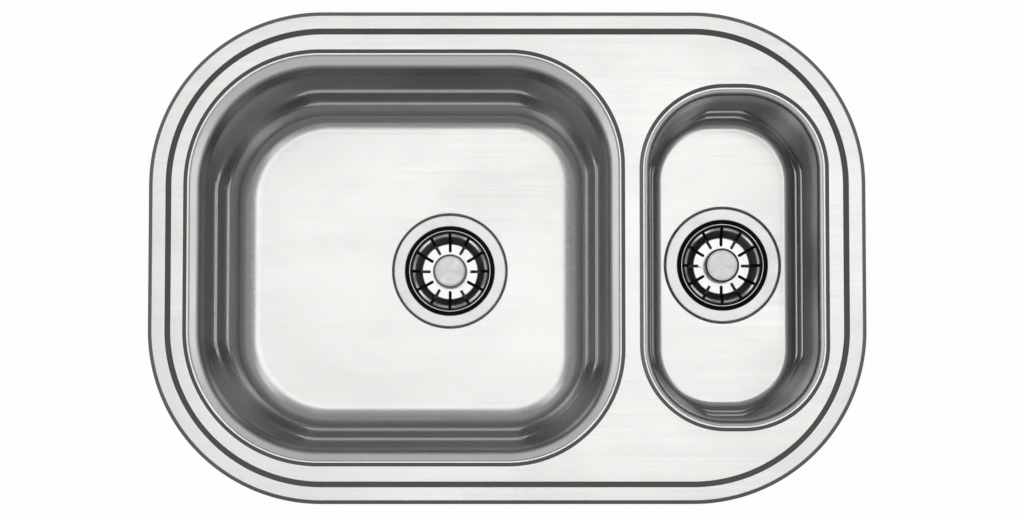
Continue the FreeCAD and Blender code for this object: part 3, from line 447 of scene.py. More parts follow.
def finish_piece(piece, material, body, slot, *nodes, angle=30):
    """Shade a piece, give it its material and let it ride on its body in place of its nodes."""
    take(piece)
    bpy.ops.object.shade_smooth_by_angle(angle=math.radians(angle))
    piece.data.materials.clear()
    piece.data.materials.append(material)
    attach(piece, body)
    if nodes:
        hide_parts(*nodes)
    object_mode()


def dress(material, *nodes):
    """Give CAD nodes a material."""
    for node in nodes:
        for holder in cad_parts[node].material_slots:
            holder.material = material


def thicken(piece, sheet):
    """Give a pressed face the thickness of its sheet, on the underside."""
    apply(piece, "SOLIDIFY", thickness=sheet, offset=-1, use_even_offset=True, use_quality_normals=True)


def pull_faces(upward):
    """Extrude the selected faces up or down."""
    bpy.ops.mesh.extrude_region_move(TRANSFORM_OT_translate={"value": (0, 0, upward)})


def pull_edges(*way):
    """Extrude the selected edges."""
    bpy.ops.mesh.extrude_edges_move(TRANSFORM_OT_translate={"value": way})


def lies_at(part, level):
    """Whether an edge or a face lies flat at one level."""
    return all(abs(end.co.z - level) < TOUCH for end in part.verts)


HOLD = 0.4 * MM  # from either end of a straight run to the point that keeps its shading flat
LONGEST = 2 * MM  # longest edge along a bend


def section(corners, bend_step):
    """Points along a section whose inner corners (inset, level, radius) are rounded.

    Each straight run also has a point close to either end, so that shading stays flat along it. A bend
    of just a whole number of steps gets one step more."""
    runs, start = [], Vector(corners[0][:2])
    for corner, after in zip(corners[1:], corners[2:]):
        here, radius = Vector(corner[:2]), corner[2]
        arrive, leave = (here - start).normalized(), (Vector(after[:2]) - here).normalized()
        swing = arrive.angle_signed(leave)
        reach = radius * math.tan(abs(swing) / 2)
        runs.append((start, here - arrive * reach))
        side = Vector((arrive.y, -arrive.x)) * math.copysign(radius, swing)
        middle = here - arrive * reach + side
        count = max(4, math.ceil(abs(swing) / bend_step + TOUCH), math.ceil(radius * abs(swing) / LONGEST))
        for index in range(count):
            ends = (swing * step / count for step in (index, index + 1))
            runs.append(tuple(middle - rotated(side, -angle) for angle in ends))
        start = here + leave * reach
    runs.append((start, Vector(corners[-1][:2])))
    points = [runs[0][0]]
    for begin, end in runs:
        span = (end - begin).length
        if span > 4 * HOLD:
            points += [begin.lerp(end, HOLD / span), begin.lerp(end, 1 - HOLD / span)]
        if span > HOLD / 100:
            points.append(end)
    return points


def rotated(vector, angle):
    """A flat vector turned by an angle."""
    turned = vector.copy()
    turned.rotate(Matrix.Rotation(angle, 2))
    return turned


def press(points):
    """Draw the selected face inwards and up or down, step by step along a section."""
    for before, after in zip(points, points[1:]):
        inward, upward = after - before
        if inward > 1e-7:
            bpy.ops.mesh.inset(thickness=inward, depth=upward, use_even_offset=True)
        else:
            pull_faces(upward)


def rounded_plate(name, middle, size, corners, level, segments):
    """A level plate with two left and two right corner radii, left in edit mode with its face selected."""
    object_mode()
    bpy.ops.mesh.primitive_plane_add(size=1, location=(middle, 0, level))
    piece = bpy.context.object
    piece.scale = (size[0], size[1], 1)
    settle(piece, name)
    edit(piece)
    for side, radius in ((-1, corners[0]), (1, corners[1])):
        pick("VERT", lambda part: (part.co.x - middle) * side > size[0] / 2 - HOLD)
        bpy.ops.mesh.bevel(offset_type="OFFSET", offset=radius, segments=segments, profile=0.5,
                           affect="VERTICES", clamp_overlap=False)
    pick_all("FACE")
    return piece


def close_flat(piece, level):
    """Fill the level gap between the open edges at one height, facing up."""
    edit(piece)
    pick("EDGE", lambda part: part.is_boundary and lies_at(part, level))
    bpy.ops.mesh.fill(use_beauty=True)
    pick("FACE", lambda part: abs(part.calc_center_median().z - level) < TOUCH and part.normal.z < 0)
    bpy.ops.mesh.flip_normals()
    object_mode()


def weld(piece):
    """Merge the doubled points where two presses meet."""
    edit(piece)
    bpy.ops.mesh.remove_doubles(threshold=TOUCH)
    object_mode()


class Wiring:
    """A node tree, with short calls to add and link nodes."""

    def __init__(self, tree):
        self.tree = tree

    def node(self, kind, inputs=None, **settings):
        made = self.tree.nodes.new(kind)
        for key, value in settings.items():
            setattr(made, key, value)
        for key, value in (inputs or {}).items():
            if isinstance(value, bpy.types.NodeSocket):
                self.tree.links.new(value, made.inputs[key])
            else:
                made.inputs[key].default_value = value
        return made

    def span(self, value, low, high, start=0.3, end=0.7, **settings):
        ramp = self.node("ShaderNodeMapRange", {"Value": value, "From Min": start, "From Max": end,
                                                "To Min": low, "To Max": high}, **settings)
        return ramp.outputs["Result"]

    def maths(self, operation, first, second):
        return self.node("ShaderNodeMath", {0: first, 1: second}, operation=operation).outputs[0]

    def add(self, first, second):
        return self.maths("ADD", first, second)

    def times(self, first, second):
        return self.maths("MULTIPLY", first, second)

    def most(self, first, second):
        return self.maths("MAXIMUM", first, second)

    def axes(self, vector):
        """The three parts of a vector."""
        return self.node("ShaderNodeSeparateXYZ", {0: vector}).outputs

    def size(self, vector):
        return self.node("ShaderNodeVectorMath", {0: vector}, operation="LENGTH").outputs["Value"]


class Finish(Wiring):
    """One material's node tree and its shader."""

    def __init__(self, name, **sockets):
        self.material = bpy.data.materials.new(name)
        self.material.use_nodes = True
        super().__init__(self.material.node_tree)
        self.shader = self.tree.nodes["Principled BSDF"]
        for socket, value in sockets.items():
            self.shader.inputs[socket.replace("_", " ")].default_value = value
        self.place = self.node("ShaderNodeTexCoord").outputs["Object"]

    def noise(self, stretch, detail=3, rough=0.55, warp=0):
        moved = self.node("ShaderNodeMapping", {"Vector": self.place, "Scale": stretch})
        grain = self.node("ShaderNodeTexNoise", {"Vector": moved.outputs[0], "Scale": 1, "Detail": detail,
                                                 "Roughness": rough, "Distortion": warp})
        return grain.outputs["Fac"]

    def streaks(self, value, stretch, detail):
        """Noise along one value."""
        grain = self.node("ShaderNodeTexNoise", {"W": self.times(value, stretch), "Scale": 1,
                                                 "Detail": detail}, noise_dimensions="1D")
        return grain.outputs["Fac"]

    def mix(self, factor, first, second):
        blend = self.node("ShaderNodeMix", {0: factor, 2: first, 3: second}, data_type="FLOAT")
        return blend.outputs[0]

    def tint(self, factor, first, second):
        """A colour between two others, each a tone or a socket."""
        ends = [end if isinstance(end, bpy.types.NodeSocket) else (*end, 1) for end in (first, second)]
        blend = self.node("ShaderNodeMix", {0: factor, 6: ends[0], 7: ends[1]}, data_type="RGBA")
        return blend.outputs[2]

    def lift(self):
        """How level a face lies: nothing on an upright wall, one on a flat."""
        normal = self.node("ShaderNodeNewGeometry").outputs["Normal"]
        return self.maths("ABSOLUTE", self.axes(normal)["Z"], 0)

    def height(self):
        return self.axes(self.place)["Z"]

    def bump(self, height, depth):
        rise = self.node("ShaderNodeBump", {"Height": height, "Distance": depth, "Strength": 1})
        self.tree.links.new(rise.outputs[0], self.shader.inputs["Normal"])

    def shaders(self, factor, first, second):
        return self.node("ShaderNodeMixShader", {0: factor, 1: first, 2: second}).outputs[0]

    def feed(self, socket, value):
        self.tree.links.new(value, self.shader.inputs[socket])


def darker(tone, by):
    """A colour times a number."""
    return tuple(channel * by for channel in tone)


def satin_sheet(name, tone, rough, wall, fold=None, low=None, floor=None):
    """Satin stainless sheet: fine straight grain on level faces, drawing marks round the walls.

    Upright faces are darkened as painted shade, and the deck's pressed lines, its slopes and bends,
    darker still as painted shade. A bowl's bends are duller than its flats, its lower wall has painted
    shade of its own strength, and at the rounded foot of the wall the painted shade fades out to the
    sheet's own tone."""
    look = Finish(name, Metallic=1)
    along = look.noise((6, 700, 700), rough=0.6)
    drawn = look.noise((1.6, 1.6, 120), rough=0.5)
    lift = look.lift()
    level = look.span(lift, 0, 1, 0.35, 0.8)
    grain = look.mix(level, drawn, along)
    smudge = look.noise((7, 9, 7), detail=5, rough=0.6, warp=0.4)
    polish = look.add(look.add(look.span(grain, -0.03, 0.03), look.span(smudge, -0.02, 0.03)), rough)
    fresh = look.tint(look.span(grain, 0, 1), darker(tone, 0.975), darker(tone, 1.02))
    # painted shade: upright faces take the sheet's tone times the wall share
    wall_shade = darker(tone, wall)
    if floor is None:
        # painted shade: the deck's pressed lines take the sheet's tone times the fold share
        fresh = look.tint(look.span(lift, 1, 0, 0.91, 0.97), fresh, darker(tone, fold))
    else:
        bend = look.times(look.span(lift, 0, 1, 0.26, 0.42), look.span(lift, 1, 0, 0.88, 0.97))
        height = look.height()
        near = look.span(height, 1, 0, floor + 80 * MM, floor + 100 * MM)
        sloped = look.times(near, look.span(lift, 1, 0, 0.93, 0.995))
        polish = look.add(look.add(polish, look.times(bend, 0.16)), look.times(sloped, 0.1))
        # painted shade on the lower wall at its own strength, fading out to the sheet's tone at the rounded
        # foot
        foot = look.span(height, 1, 0, floor + 4 * MM, floor + 18 * MM)
        wall_shade = look.tint(foot, look.tint(near, wall_shade, darker(tone, wall * low)), tone)
    look.feed("Roughness", polish)
    look.feed("Base Color", look.tint(look.span(lift, 1, 0, 0.25, 0.5), fresh, wall_shade))
    look.bump(look.mix(level, look.times(drawn, 30), along), 0.000008)
    return look.material


def drawn_steel(name, tone, rough, shade_below=None):
    """Drawn steel of cups and baskets, with faint smears. Painted shade darkens a basket's upright faces,
    and a cup below a level, where it is also rougher.
    """
    look = Finish(name, Metallic=1)
    smear = look.noise((30, 42, 30), detail=5, rough=0.6, warp=0.6)
    polish = look.add(look.span(smear, -0.04, 0.05), rough)
    fresh = look.tint(look.span(smear, 0, 1), darker(tone, 0.95), darker(tone, 1.02))
    # painted shade: a basket's upright faces, or a cup below a level, darkened to a share of the tone
    if shade_below is None:
        shade, shade_mask = 0.4, look.span(look.lift(), 1, 0, 0.5, 0.85)
    else:
        shade, shade_mask = 0.1, look.span(look.height(), 1, 0, shade_below, shade_below + 3 * MM)
        polish = look.add(polish, look.times(shade_mask, 0.35))
    look.feed("Roughness", polish)
    look.feed("Base Color", look.tint(shade_mask, fresh, darker(tone, shade)))
    look.bump(look.noise((900, 900, 900), detail=2), 0.000012)
    return look.material


def turned_steel(name, tone, rough, centre):
    """Knob steel turned on a lathe: fine rings about the knob's own axis, and light and dark sectors
    round it painted into the colour as a painted reflection.
    """
    look = Finish(name, Metallic=1, Anisotropic=0.75)
    moved = look.node("ShaderNodeMapping", {"Vector": look.place, "Location": (-centre[0], -centre[1], 0)})
    parts = look.axes(moved.outputs[0])
    flat = look.node("ShaderNodeCombineXYZ", {0: parts[0], 1: parts[1]}).outputs[0]
    rings = look.streaks(look.size(flat), 2600, 2)
    # painted reflection: light and dark sectors round the knob's axis
    painted_fans = look.streaks(look.maths("ARCTAN2", parts[1], parts[0]), 1.6, 1)
    rings_and_painted_fans = look.add(look.times(rings, 0.3), look.times(painted_fans, 0.7))
    look.feed("Roughness", look.add(look.span(rings, -0.05, 0.06), rough))
    look.feed("Base Color", look.tint(look.span(rings_and_painted_fans, 0, 1), darker(tone, 0.88), darker(tone, 1.04)))
    look.feed("Tangent", look.node("ShaderNodeTangent", direction_type="RADIAL", axis="Z").outputs[0])
    look.bump(rings, 0.00001)
    return look.material


def plain_metal(name, tone, rough, mottle=60):
    """Small metal fittings: fine tooth and uneven brightness."""
    look = Finish(name, Metallic=1)
    cloud = look.noise((mottle, mottle, mottle), detail=4, rough=0.6, warp=0.5)
    tooth = look.noise((700, 700, 700), detail=2)
    look.feed("Roughness", look.add(look.span(cloud, -0.06, 0.08), rough))
    look.feed("Base Color", look.tint(look.span(cloud, 0, 1), darker(tone, 0.86), darker(tone, 1.05)))
    look.bump(tooth, 0.00003)
    return look.material


def soft_matt(name, tone, rough, cell, depth, wear=1.35, sheen=0.5):
    """Rubber, foam, bitumen or plastic: a matt skin with its own small relief."""
    look = Finish(name, Specular_IOR_Level=sheen)
    relief = look.noise((cell, cell, cell), detail=4, rough=0.6)
    cloud = look.noise((35, 35, 35), detail=4, warp=0.4)
    look.feed("Roughness", look.add(look.span(cloud, -0.07, 0.07), rough))
    look.feed("Base Color", look.tint(look.span(cloud, 0, 1), darker(tone, 0.88), darker(tone, wear)))
    look.bump(relief, depth)
    return look.material


def middles(sizes):
    """Places of the two openings' middles along the sink."""
    main = DECK_LOW.x + sizes.left_land + sizes.main_length / 2
    half = main + (sizes.main_length + sizes.half_length) / 2 + sizes.bridge
    return main, half


def openings(sizes):
    """Middle, size and corner radii of each opening."""
    main, half = middles(sizes)
    return {
        "main": (main, (sizes.main_length, sizes.main_width),
                 (sizes.main_outer_corner, sizes.main_inner_corner)),
        "half": (half, (sizes.half_length, sizes.half_width), (sizes.half_corner, sizes.half_corner)),
    }


def moved_in(opening, by):
    """An opening's outline moved inwards."""
    middle, size, corners = opening
    return middle, tuple(side - 2 * by for side in size), tuple(radius - by for radius in corners)


class SINK_OT_deck(bpy.types.Operator):
    """Press the deck: rolled edge, rim, sloped band, inner deck and the lips of the two openings"""

    bl_idname = "sink.deck"
    bl_label = "Deck"

    def execute(self, context):
        sizes, step = context.scene.sink_sheet, context.scene.sink_sheet.bend_step
        rim_top = DECK_HIGH.z
        deck_top = rim_top - sizes.deck_drop
        ledge = deck_top - sizes.lip_drop
        slope_end = sizes.rim_flat + sizes.slope_width
        span = DECK_HIGH - DECK_LOW
        deck = rounded_plate("deck_sheet", (DECK_LOW.x + DECK_HIGH.x) / 2, (span.x, span.y),
                             (sizes.rim_corner, sizes.rim_corner), sizes.edge_foot, sizes.corner_segments)
        press(section([
            (0, sizes.edge_foot),
            (0, rim_top - sizes.edge_drop, sizes.edge_bend),
            (sizes.edge_width, rim_top, sizes.edge_bend),
            (sizes.rim_flat, rim_top, sizes.deck_bend + sizes.sheet),
            (slope_end, deck_top, sizes.deck_bend),
            (slope_end + sizes.deck_margin, deck_top),
        ], step))
        bpy.ops.mesh.delete(type="ONLY_FACE")
        pick("FACE", lambda part: lies_at(part, sizes.edge_foot))
        bpy.ops.mesh.delete(type="ONLY_FACE")
        pieces = [deck]
        for name, opening in openings(sizes).items():
            lip = rounded_plate(f"{name}_lip", *moved_in(opening, -sizes.lip_margin), deck_top,
                                sizes.corner_segments)
            press(section([
                (0, deck_top),
                (sizes.lip_margin, deck_top, sizes.lip_bend + sizes.sheet),
                (sizes.lip_margin + sizes.lip_width, ledge, sizes.lip_bend),
                (sizes.lip_margin + sizes.lip_width + sizes.lip_flat, ledge),
            ], step))
            bpy.ops.mesh.delete(type="ONLY_FACE")
            pieces.append(lip)
        join(pieces, "deck_sheet")
        close_flat(deck, deck_top)
        weld(deck)
        thicken(deck, sizes.sheet)
        finish_piece(deck, bpy.data.materials["deck_steel"], "sink", "sink_sheet", "deck_plate")
        return {"FINISHED"}


def wall_section(sizes, name):
    """A bowl wall's section, from the weld at the ledge down to the flat floor."""
    def size(part):
        return getattr(sizes, f"{name}_{part}")

    deck_top = DECK_HIGH.z - sizes.deck_drop
    ledge = deck_top - sizes.lip_drop
    upper_step, lower_step, floor = (deck_top - size(part)
                                     for part in ("upper_step", "lower_step", "depth"))
    upper, lower = math.tan(size("upper_draft")), math.tan(size("lower_draft"))
    upper_share, lower_share = (math.tan((math.pi / 2 - size(part)) / 2)
                                for part in ("upper_draft", "lower_draft"))
    fall = sizes.step_fall / 2
    weld_line = sizes.lip_width + sizes.lip_flat
    brow = weld_line + size("brow")
    lean = math.tan(sizes.brow_slope)
    steep = math.tan(sizes.brow_draft) if name == "main" else upper
    steep_end = size("mouth") + sizes.brow_wall * upper
    steep_top = steep_end - sizes.brow_wall * steep
    mouth_drop = (steep_top - brow) / (lean - steep)
    mouth = brow + mouth_drop * lean
    upper_in = size("mouth") + (ledge - upper_step) * upper
    upper_out = upper_in + (sizes.step_ridge + sizes.step_hollow) * upper_share + sizes.step_flat
    lower_in = upper_out + (upper_step - lower_step) * upper
    lower_out = (lower_in + sizes.step_ridge * lower_share + sizes.step_hollow * upper_share
                 + sizes.step_flat)
    if name == "main":
        rise = sizes.dish_reach * math.tan(sizes.dish_slope)
        foot = lower_out + (lower_step - floor - rise) * lower
        dish = foot + sizes.dish_reach
        flat = dish + sizes.dish_radius * math.tan(sizes.dish_slope / 2) + sizes.floor_margin
        base = [(foot, floor + rise, size("floor_radius")), (dish, floor, sizes.dish_radius), (flat, floor)]
    else:
        foot = lower_out + (lower_step - floor) * lower
        flat = foot + size("floor_radius") * lower_share + sizes.floor_margin
        base = [(foot, floor, size("floor_radius")), (flat, floor)]
    return [
        (weld_line, ledge),
        (brow, ledge, size("bend")),
        (mouth, ledge - mouth_drop, size("roll")),
        (steep_end, ledge - sizes.brow_wall, sizes.brow_end),
        (upper_in - fall * upper, upper_step + fall, sizes.step_hollow),
        (upper_out + fall * upper, upper_step - fall, sizes.step_ridge),
        (lower_in - fall * upper, lower_step + fall, sizes.step_hollow),
        (lower_out + fall * lower, lower_step - fall, sizes.step_ridge),
        *base,
    ]


def disc(name, middle, radius, level, segments):
    """A flat disc facing up, left in edit mode with its face selected."""
    object_mode()
    bpy.ops.mesh.primitive_circle_add(vertices=segments, radius=radius, fill_type="NGON",
                                      location=(middle.x, middle.y, level))
    piece = settle(bpy.context.object, name)
    edit(piece)
    return piece


def copy_to(piece, name, move):
    """Copy a finished shape, with its own mesh, to another place."""
    take(piece)
    bpy.ops.object.duplicate(linked=False)
    twin = bpy.context.object
    bpy.ops.transform.translate(value=move)
    return settle(twin, name)


def strainer_middle(side):
    """Middle of a strainer on the level of its bowl's floor, where the flange's top lies."""
    low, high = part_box(f"{side}_strainer_cup")
    return Vector(((low.x + high.x) / 2, (low.y + high.y) / 2, high.z))


def draw_wall(points, width, leans):
    """Draw the wall along its section; between two levels the back leans in, or out, by itself.

    The outline is narrowed from its front edge, which stays where the section puts it."""
    moved = 0
    for before, after in zip(points, points[1:]):
        press((before, after))
        for high, low, reach in leans:
            fall = min(high, max(low, before.y)) - min(high, max(low, after.y))
            lean = reach * fall / (high - low)
            if lean:
                deep = width - 2 * after.x - moved
                bpy.ops.transform.resize(value=(1, 1 - lean / deep, 1),
                                         center_override=(0, after.x - width / 2, 0))
                moved += lean


FADES = ((0.08, 0.25), (0.25, 0.6), (0.5, 1))  # nearness to a corner, and weight of the smoothing there


def fade_steps(bowl, high, low, rounds):
    """Let the wall steps run out in the rounded corners, where the deep drawing flattens them."""
    take(bowl)
    bpy.ops.object.vertex_group_add()
    bowl.vertex_groups[-1].name = "corners"
    edit(bowl)
    for start, weight in FADES:
        pick("VERT", lambda part: low < part.co.z < high and corner_share(part.normal) > start)
        bpy.context.scene.tool_settings.vertex_group_weight = weight
        bpy.ops.object.vertex_group_assign()
    apply(bowl, "SMOOTH", factor=0.5, iterations=rounds, vertex_group="corners")
    bowl.vertex_groups.clear()


def corner_share(normal):
    """How far a wall's direction is from the four sides: nothing along a side, one at 45 degrees."""
    flat = normal.x ** 2 + normal.y ** 2
    return 4 * (normal.x * normal.y / flat) ** 2 if flat > 1e-9 else 0


def draw_bowl(sizes, name, opening, drain):
    """Draw one bowl from its mouth to the pressed seat and hole for its waste."""
    corners = wall_section(sizes, name)
    (weld_line, ledge), floor = corners[0], corners[-1][1]
    step_top, step_foot, dish_top = (corners[index][1] for index in (4, 7, -3))
    bowl = rounded_plate(f"{name}_bowl_sheet", *moved_in(opening, weld_line), ledge, sizes.corner_segments)
    leans = []
    if name == "main":
        leans = [(ledge, step_top, sizes.back_lean), (dish_top, floor, -sizes.back_dish)]
    draw_wall(section(corners, sizes.bend_step), opening[1][1], leans)
    bpy.ops.mesh.delete(type="ONLY_FACE")
    fade_steps(bowl, step_top + sizes.fade_reach, step_foot - sizes.fade_reach, sizes.fade_rounds)
    seat = disc(f"{name}_seat", drain, sizes.recess_edge, floor, sizes.seat_segments)
    press(section([
        (0, floor),
        (sizes.recess_edge - sizes.recess_top, floor, sizes.recess_bend + sizes.sheet),
        (sizes.recess_edge - sizes.recess_foot, floor - sizes.recess_depth, sizes.recess_bend),
        (sizes.recess_edge - sizes.waste_hole, floor - sizes.recess_depth),
    ], sizes.bend_step))
    bpy.ops.mesh.delete(type="ONLY_FACE")
    join([bowl, seat], f"{name}_bowl_sheet")
    close_flat(bowl, floor)
    weld(bowl)
    thicken(bowl, sizes.sheet)
    finish_piece(bowl, bpy.data.materials[f"{name}_bowl_steel"], "sink", "sink_sheet", f"{name}_bowl")


class SINK_OT_bowls(bpy.types.Operator):
    """Draw the main bowl and the half bowl with their wall steps and waste seats"""

    bl_idname = "sink.bowls"
    bl_label = "Bowls"

    def execute(self, context):
        sizes = context.scene.sink_sheet
        for name, opening in openings(sizes).items():
            draw_bowl(sizes, name, opening, strainer_middle(name))
        return {"FINISHED"}


def turn(name, middle, points, segments, hollow=False):
    """Turn a section (radius, level) round an upright axis, ring by ring; a hollow one closes on itself."""
    object_mode()
    radius, level = points[0]
    bpy.ops.mesh.primitive_circle_add(vertices=segments, radius=radius, fill_type="NOTHING",
                                      location=(middle.x, middle.y, level))
    piece = settle(bpy.context.object, name)
    edit(piece)
    pick_all("EDGE")
    rings = [*points, points[0]] if hollow else points
    for before, after in zip(rings, rings[1:]):
        grow = after[0] / before[0]
        pull_edges(0, 0, after[1] - before[1])
        bpy.ops.transform.resize(value=(grow, grow, 1), center_override=(middle.x, middle.y, after[1]))
    close_up(piece)
    return piece


def close_up(piece):
    """Merge doubled points, close open ends and point the faces outwards."""
    edit(piece)
    bpy.ops.mesh.remove_doubles(threshold=TOUCH)
    pick_all("EDGE")
    bpy.ops.mesh.fill_holes(sides=0)
    bpy.ops.mesh.select_all(action="SELECT")
    bpy.ops.mesh.normals_make_consistent(inside=False)
    object_mode()


def thread(name, middle, crest, depth, foot, pitch, turns, segments):
    """A ridge that climbs round an upright axis, with its lower half sunk in the core."""
    object_mode()
    bpy.ops.mesh.primitive_circle_add(vertices=4, radius=1, fill_type="NOTHING",
                                      location=(crest - depth, 0, 0), rotation=(math.pi / 2, 0, 0))
    ridge = bpy.context.object
    ridge.scale = (depth, pitch * 0.46, 1)
    settle(ridge, name)
    apply(ridge, "SCREW", axis="Z", angle=math.tau, screw_offset=pitch, iterations=turns, steps=segments,
          render_steps=segments, use_merge_vertices=False)
    close_up(ridge)
    ridge.select_set(True)
    ridge.location = (middle.x, middle.y, foot)
    return settle(ridge, name)


def block(name, middle, size):
    """A block to cut with or to shape further."""
    object_mode()
    bpy.ops.mesh.primitive_cube_add(size=1, location=middle)
    piece = bpy.context.object
    piece.scale = size
    return settle(piece, name)


def cut(piece, tool):
    """Take a tool's shape out of a piece and throw the tool away."""
    apply(piece, "BOOLEAN", object=tool, operation="DIFFERENCE", solver="EXACT")
    bpy.data.objects.remove(tool)


def round_off(piece, by):
    """Round the sharp edges of a piece."""
    apply(piece, "BEVEL", width=by, segments=2, limit_method="ANGLE", angle_limit=math.radians(50))


def ring_of(piece, middle, count):
    """Repeat a piece round an upright axis, as one piece."""
    edit(piece)
    bpy.ops.mesh.spin(dupli=True, steps=count, angle=math.tau, center=middle, axis=(0, 0, 1))
    bpy.ops.mesh.select_all(action="SELECT")
    bpy.ops.mesh.remove_doubles(threshold=10 * TOUCH)
    object_mode()
    return piece


def both(piece, name):
    """A piece of the main bowl's waste and its copy for the half bowl, each with its side."""
    move = strainer_middle("half") - strainer_middle("main")
    return ("main", piece), ("half", copy_to(piece, f"half_{name}", move))


class SINK_OT_strainers(bpy.types.Operator):
    """Press the strainers' slotted baskets and turn their knobs"""

    bl_idname = "sink.strainers"
    bl_label = "Strainers"

    def execute(self, context):
        sizes = context.scene.sink_strainers
        middle = strainer_middle("main")
        basket, knob = self.press_basket(sizes, middle), self.turn_knob(sizes, middle)
        for side, sieve in both(basket, "basket_sheet"):
            finish_piece(sieve, bpy.data.materials["basket_steel"], f"{side}_strainer", "strainer_steel",
                         f"{side}_basket", angle=35)
        for side, grip in both(knob, "knob_disc"):
            finish_piece(grip, bpy.data.materials[f"{side}_turned_steel"], f"{side}_strainer", "knob_steel",
                         f"{side}_knob")
        return {"FINISHED"}

    def press_basket(self, sizes, middle):
        rim, top = sizes.lip_radius, middle.z + sizes.lip_top
        bead = sizes.lip_bead * 0.45
        ledge = middle.z - sizes.ledge_depth
        floor = middle.z - sizes.floor_depth
        basket = disc("main_basket_sheet", middle, rim, top - sizes.lip_foot, sizes.round_segments)
        press(section([
            (0, top - sizes.lip_foot),
            (0, top, bead),
            (sizes.lip_bead, top, bead),
            (rim - sizes.collar_foot, ledge, sizes.bend),
            (rim - sizes.ledge_inner, ledge - sizes.ledge_fall, sizes.bend + sizes.sheet),
            (rim - sizes.floor_radius, floor, sizes.bend * 2),
            (rim - sizes.knob_neck, floor),
        ], sizes.bend_step))
        pick("FACE", lambda part: lies_at(part, top - sizes.lip_foot))
        bpy.ops.mesh.delete(type="ONLY_FACE")
        weld(basket)
        thicken(basket, sizes.sheet)
        cut(basket, self.slot_cutter(sizes, middle, floor))
        return basket

    def slot_cutter(self, sizes, middle, floor):
        reach = (sizes.slot_inner + sizes.slot_outer) / 2
        cutter = block("slot_cutter", (middle.x, middle.y + reach, floor + sizes.slot_level),
                       (sizes.slot_width, sizes.slot_outer - sizes.slot_inner, sizes.slot_height))
        edit(cutter)
        pick("EDGE", lambda part: abs(part.verts[0].co.z - part.verts[1].co.z) > MM)
        bpy.ops.mesh.bevel(offset=sizes.slot_width * 0.49, segments=5, affect="EDGES")
        return ring_of(cutter, middle, sizes.slot_count)

    def turn_knob(self, sizes, middle):
        low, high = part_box("main_knob")
        rim, top = sizes.knob_radius, high.z
        foot = top - sizes.knob_disc
        knob = disc("main_knob_disc", middle, sizes.knob_neck, low.z, sizes.round_segments)
        pull_faces(foot - low.z)
        pull_faces(0)
        grow = rim / sizes.knob_neck
        bpy.ops.transform.resize(value=(grow, grow, 1), center_override=(middle.x, middle.y, foot))
        brim = sizes.knob_chamfer + sizes.knob_brim
        press(section([
            (0, foot),
            (0, top - sizes.knob_chamfer_drop, sizes.knob_edge),
            (sizes.knob_chamfer, top, sizes.knob_edge),
            (brim, top, sizes.dip_edge),
            (brim + sizes.knob_dip, top - sizes.knob_hollow, sizes.dip_edge),
            (rim - sizes.knob_middle, top - sizes.knob_hollow),
        ], sizes.knob_step))
        close_up(knob)
        return knob


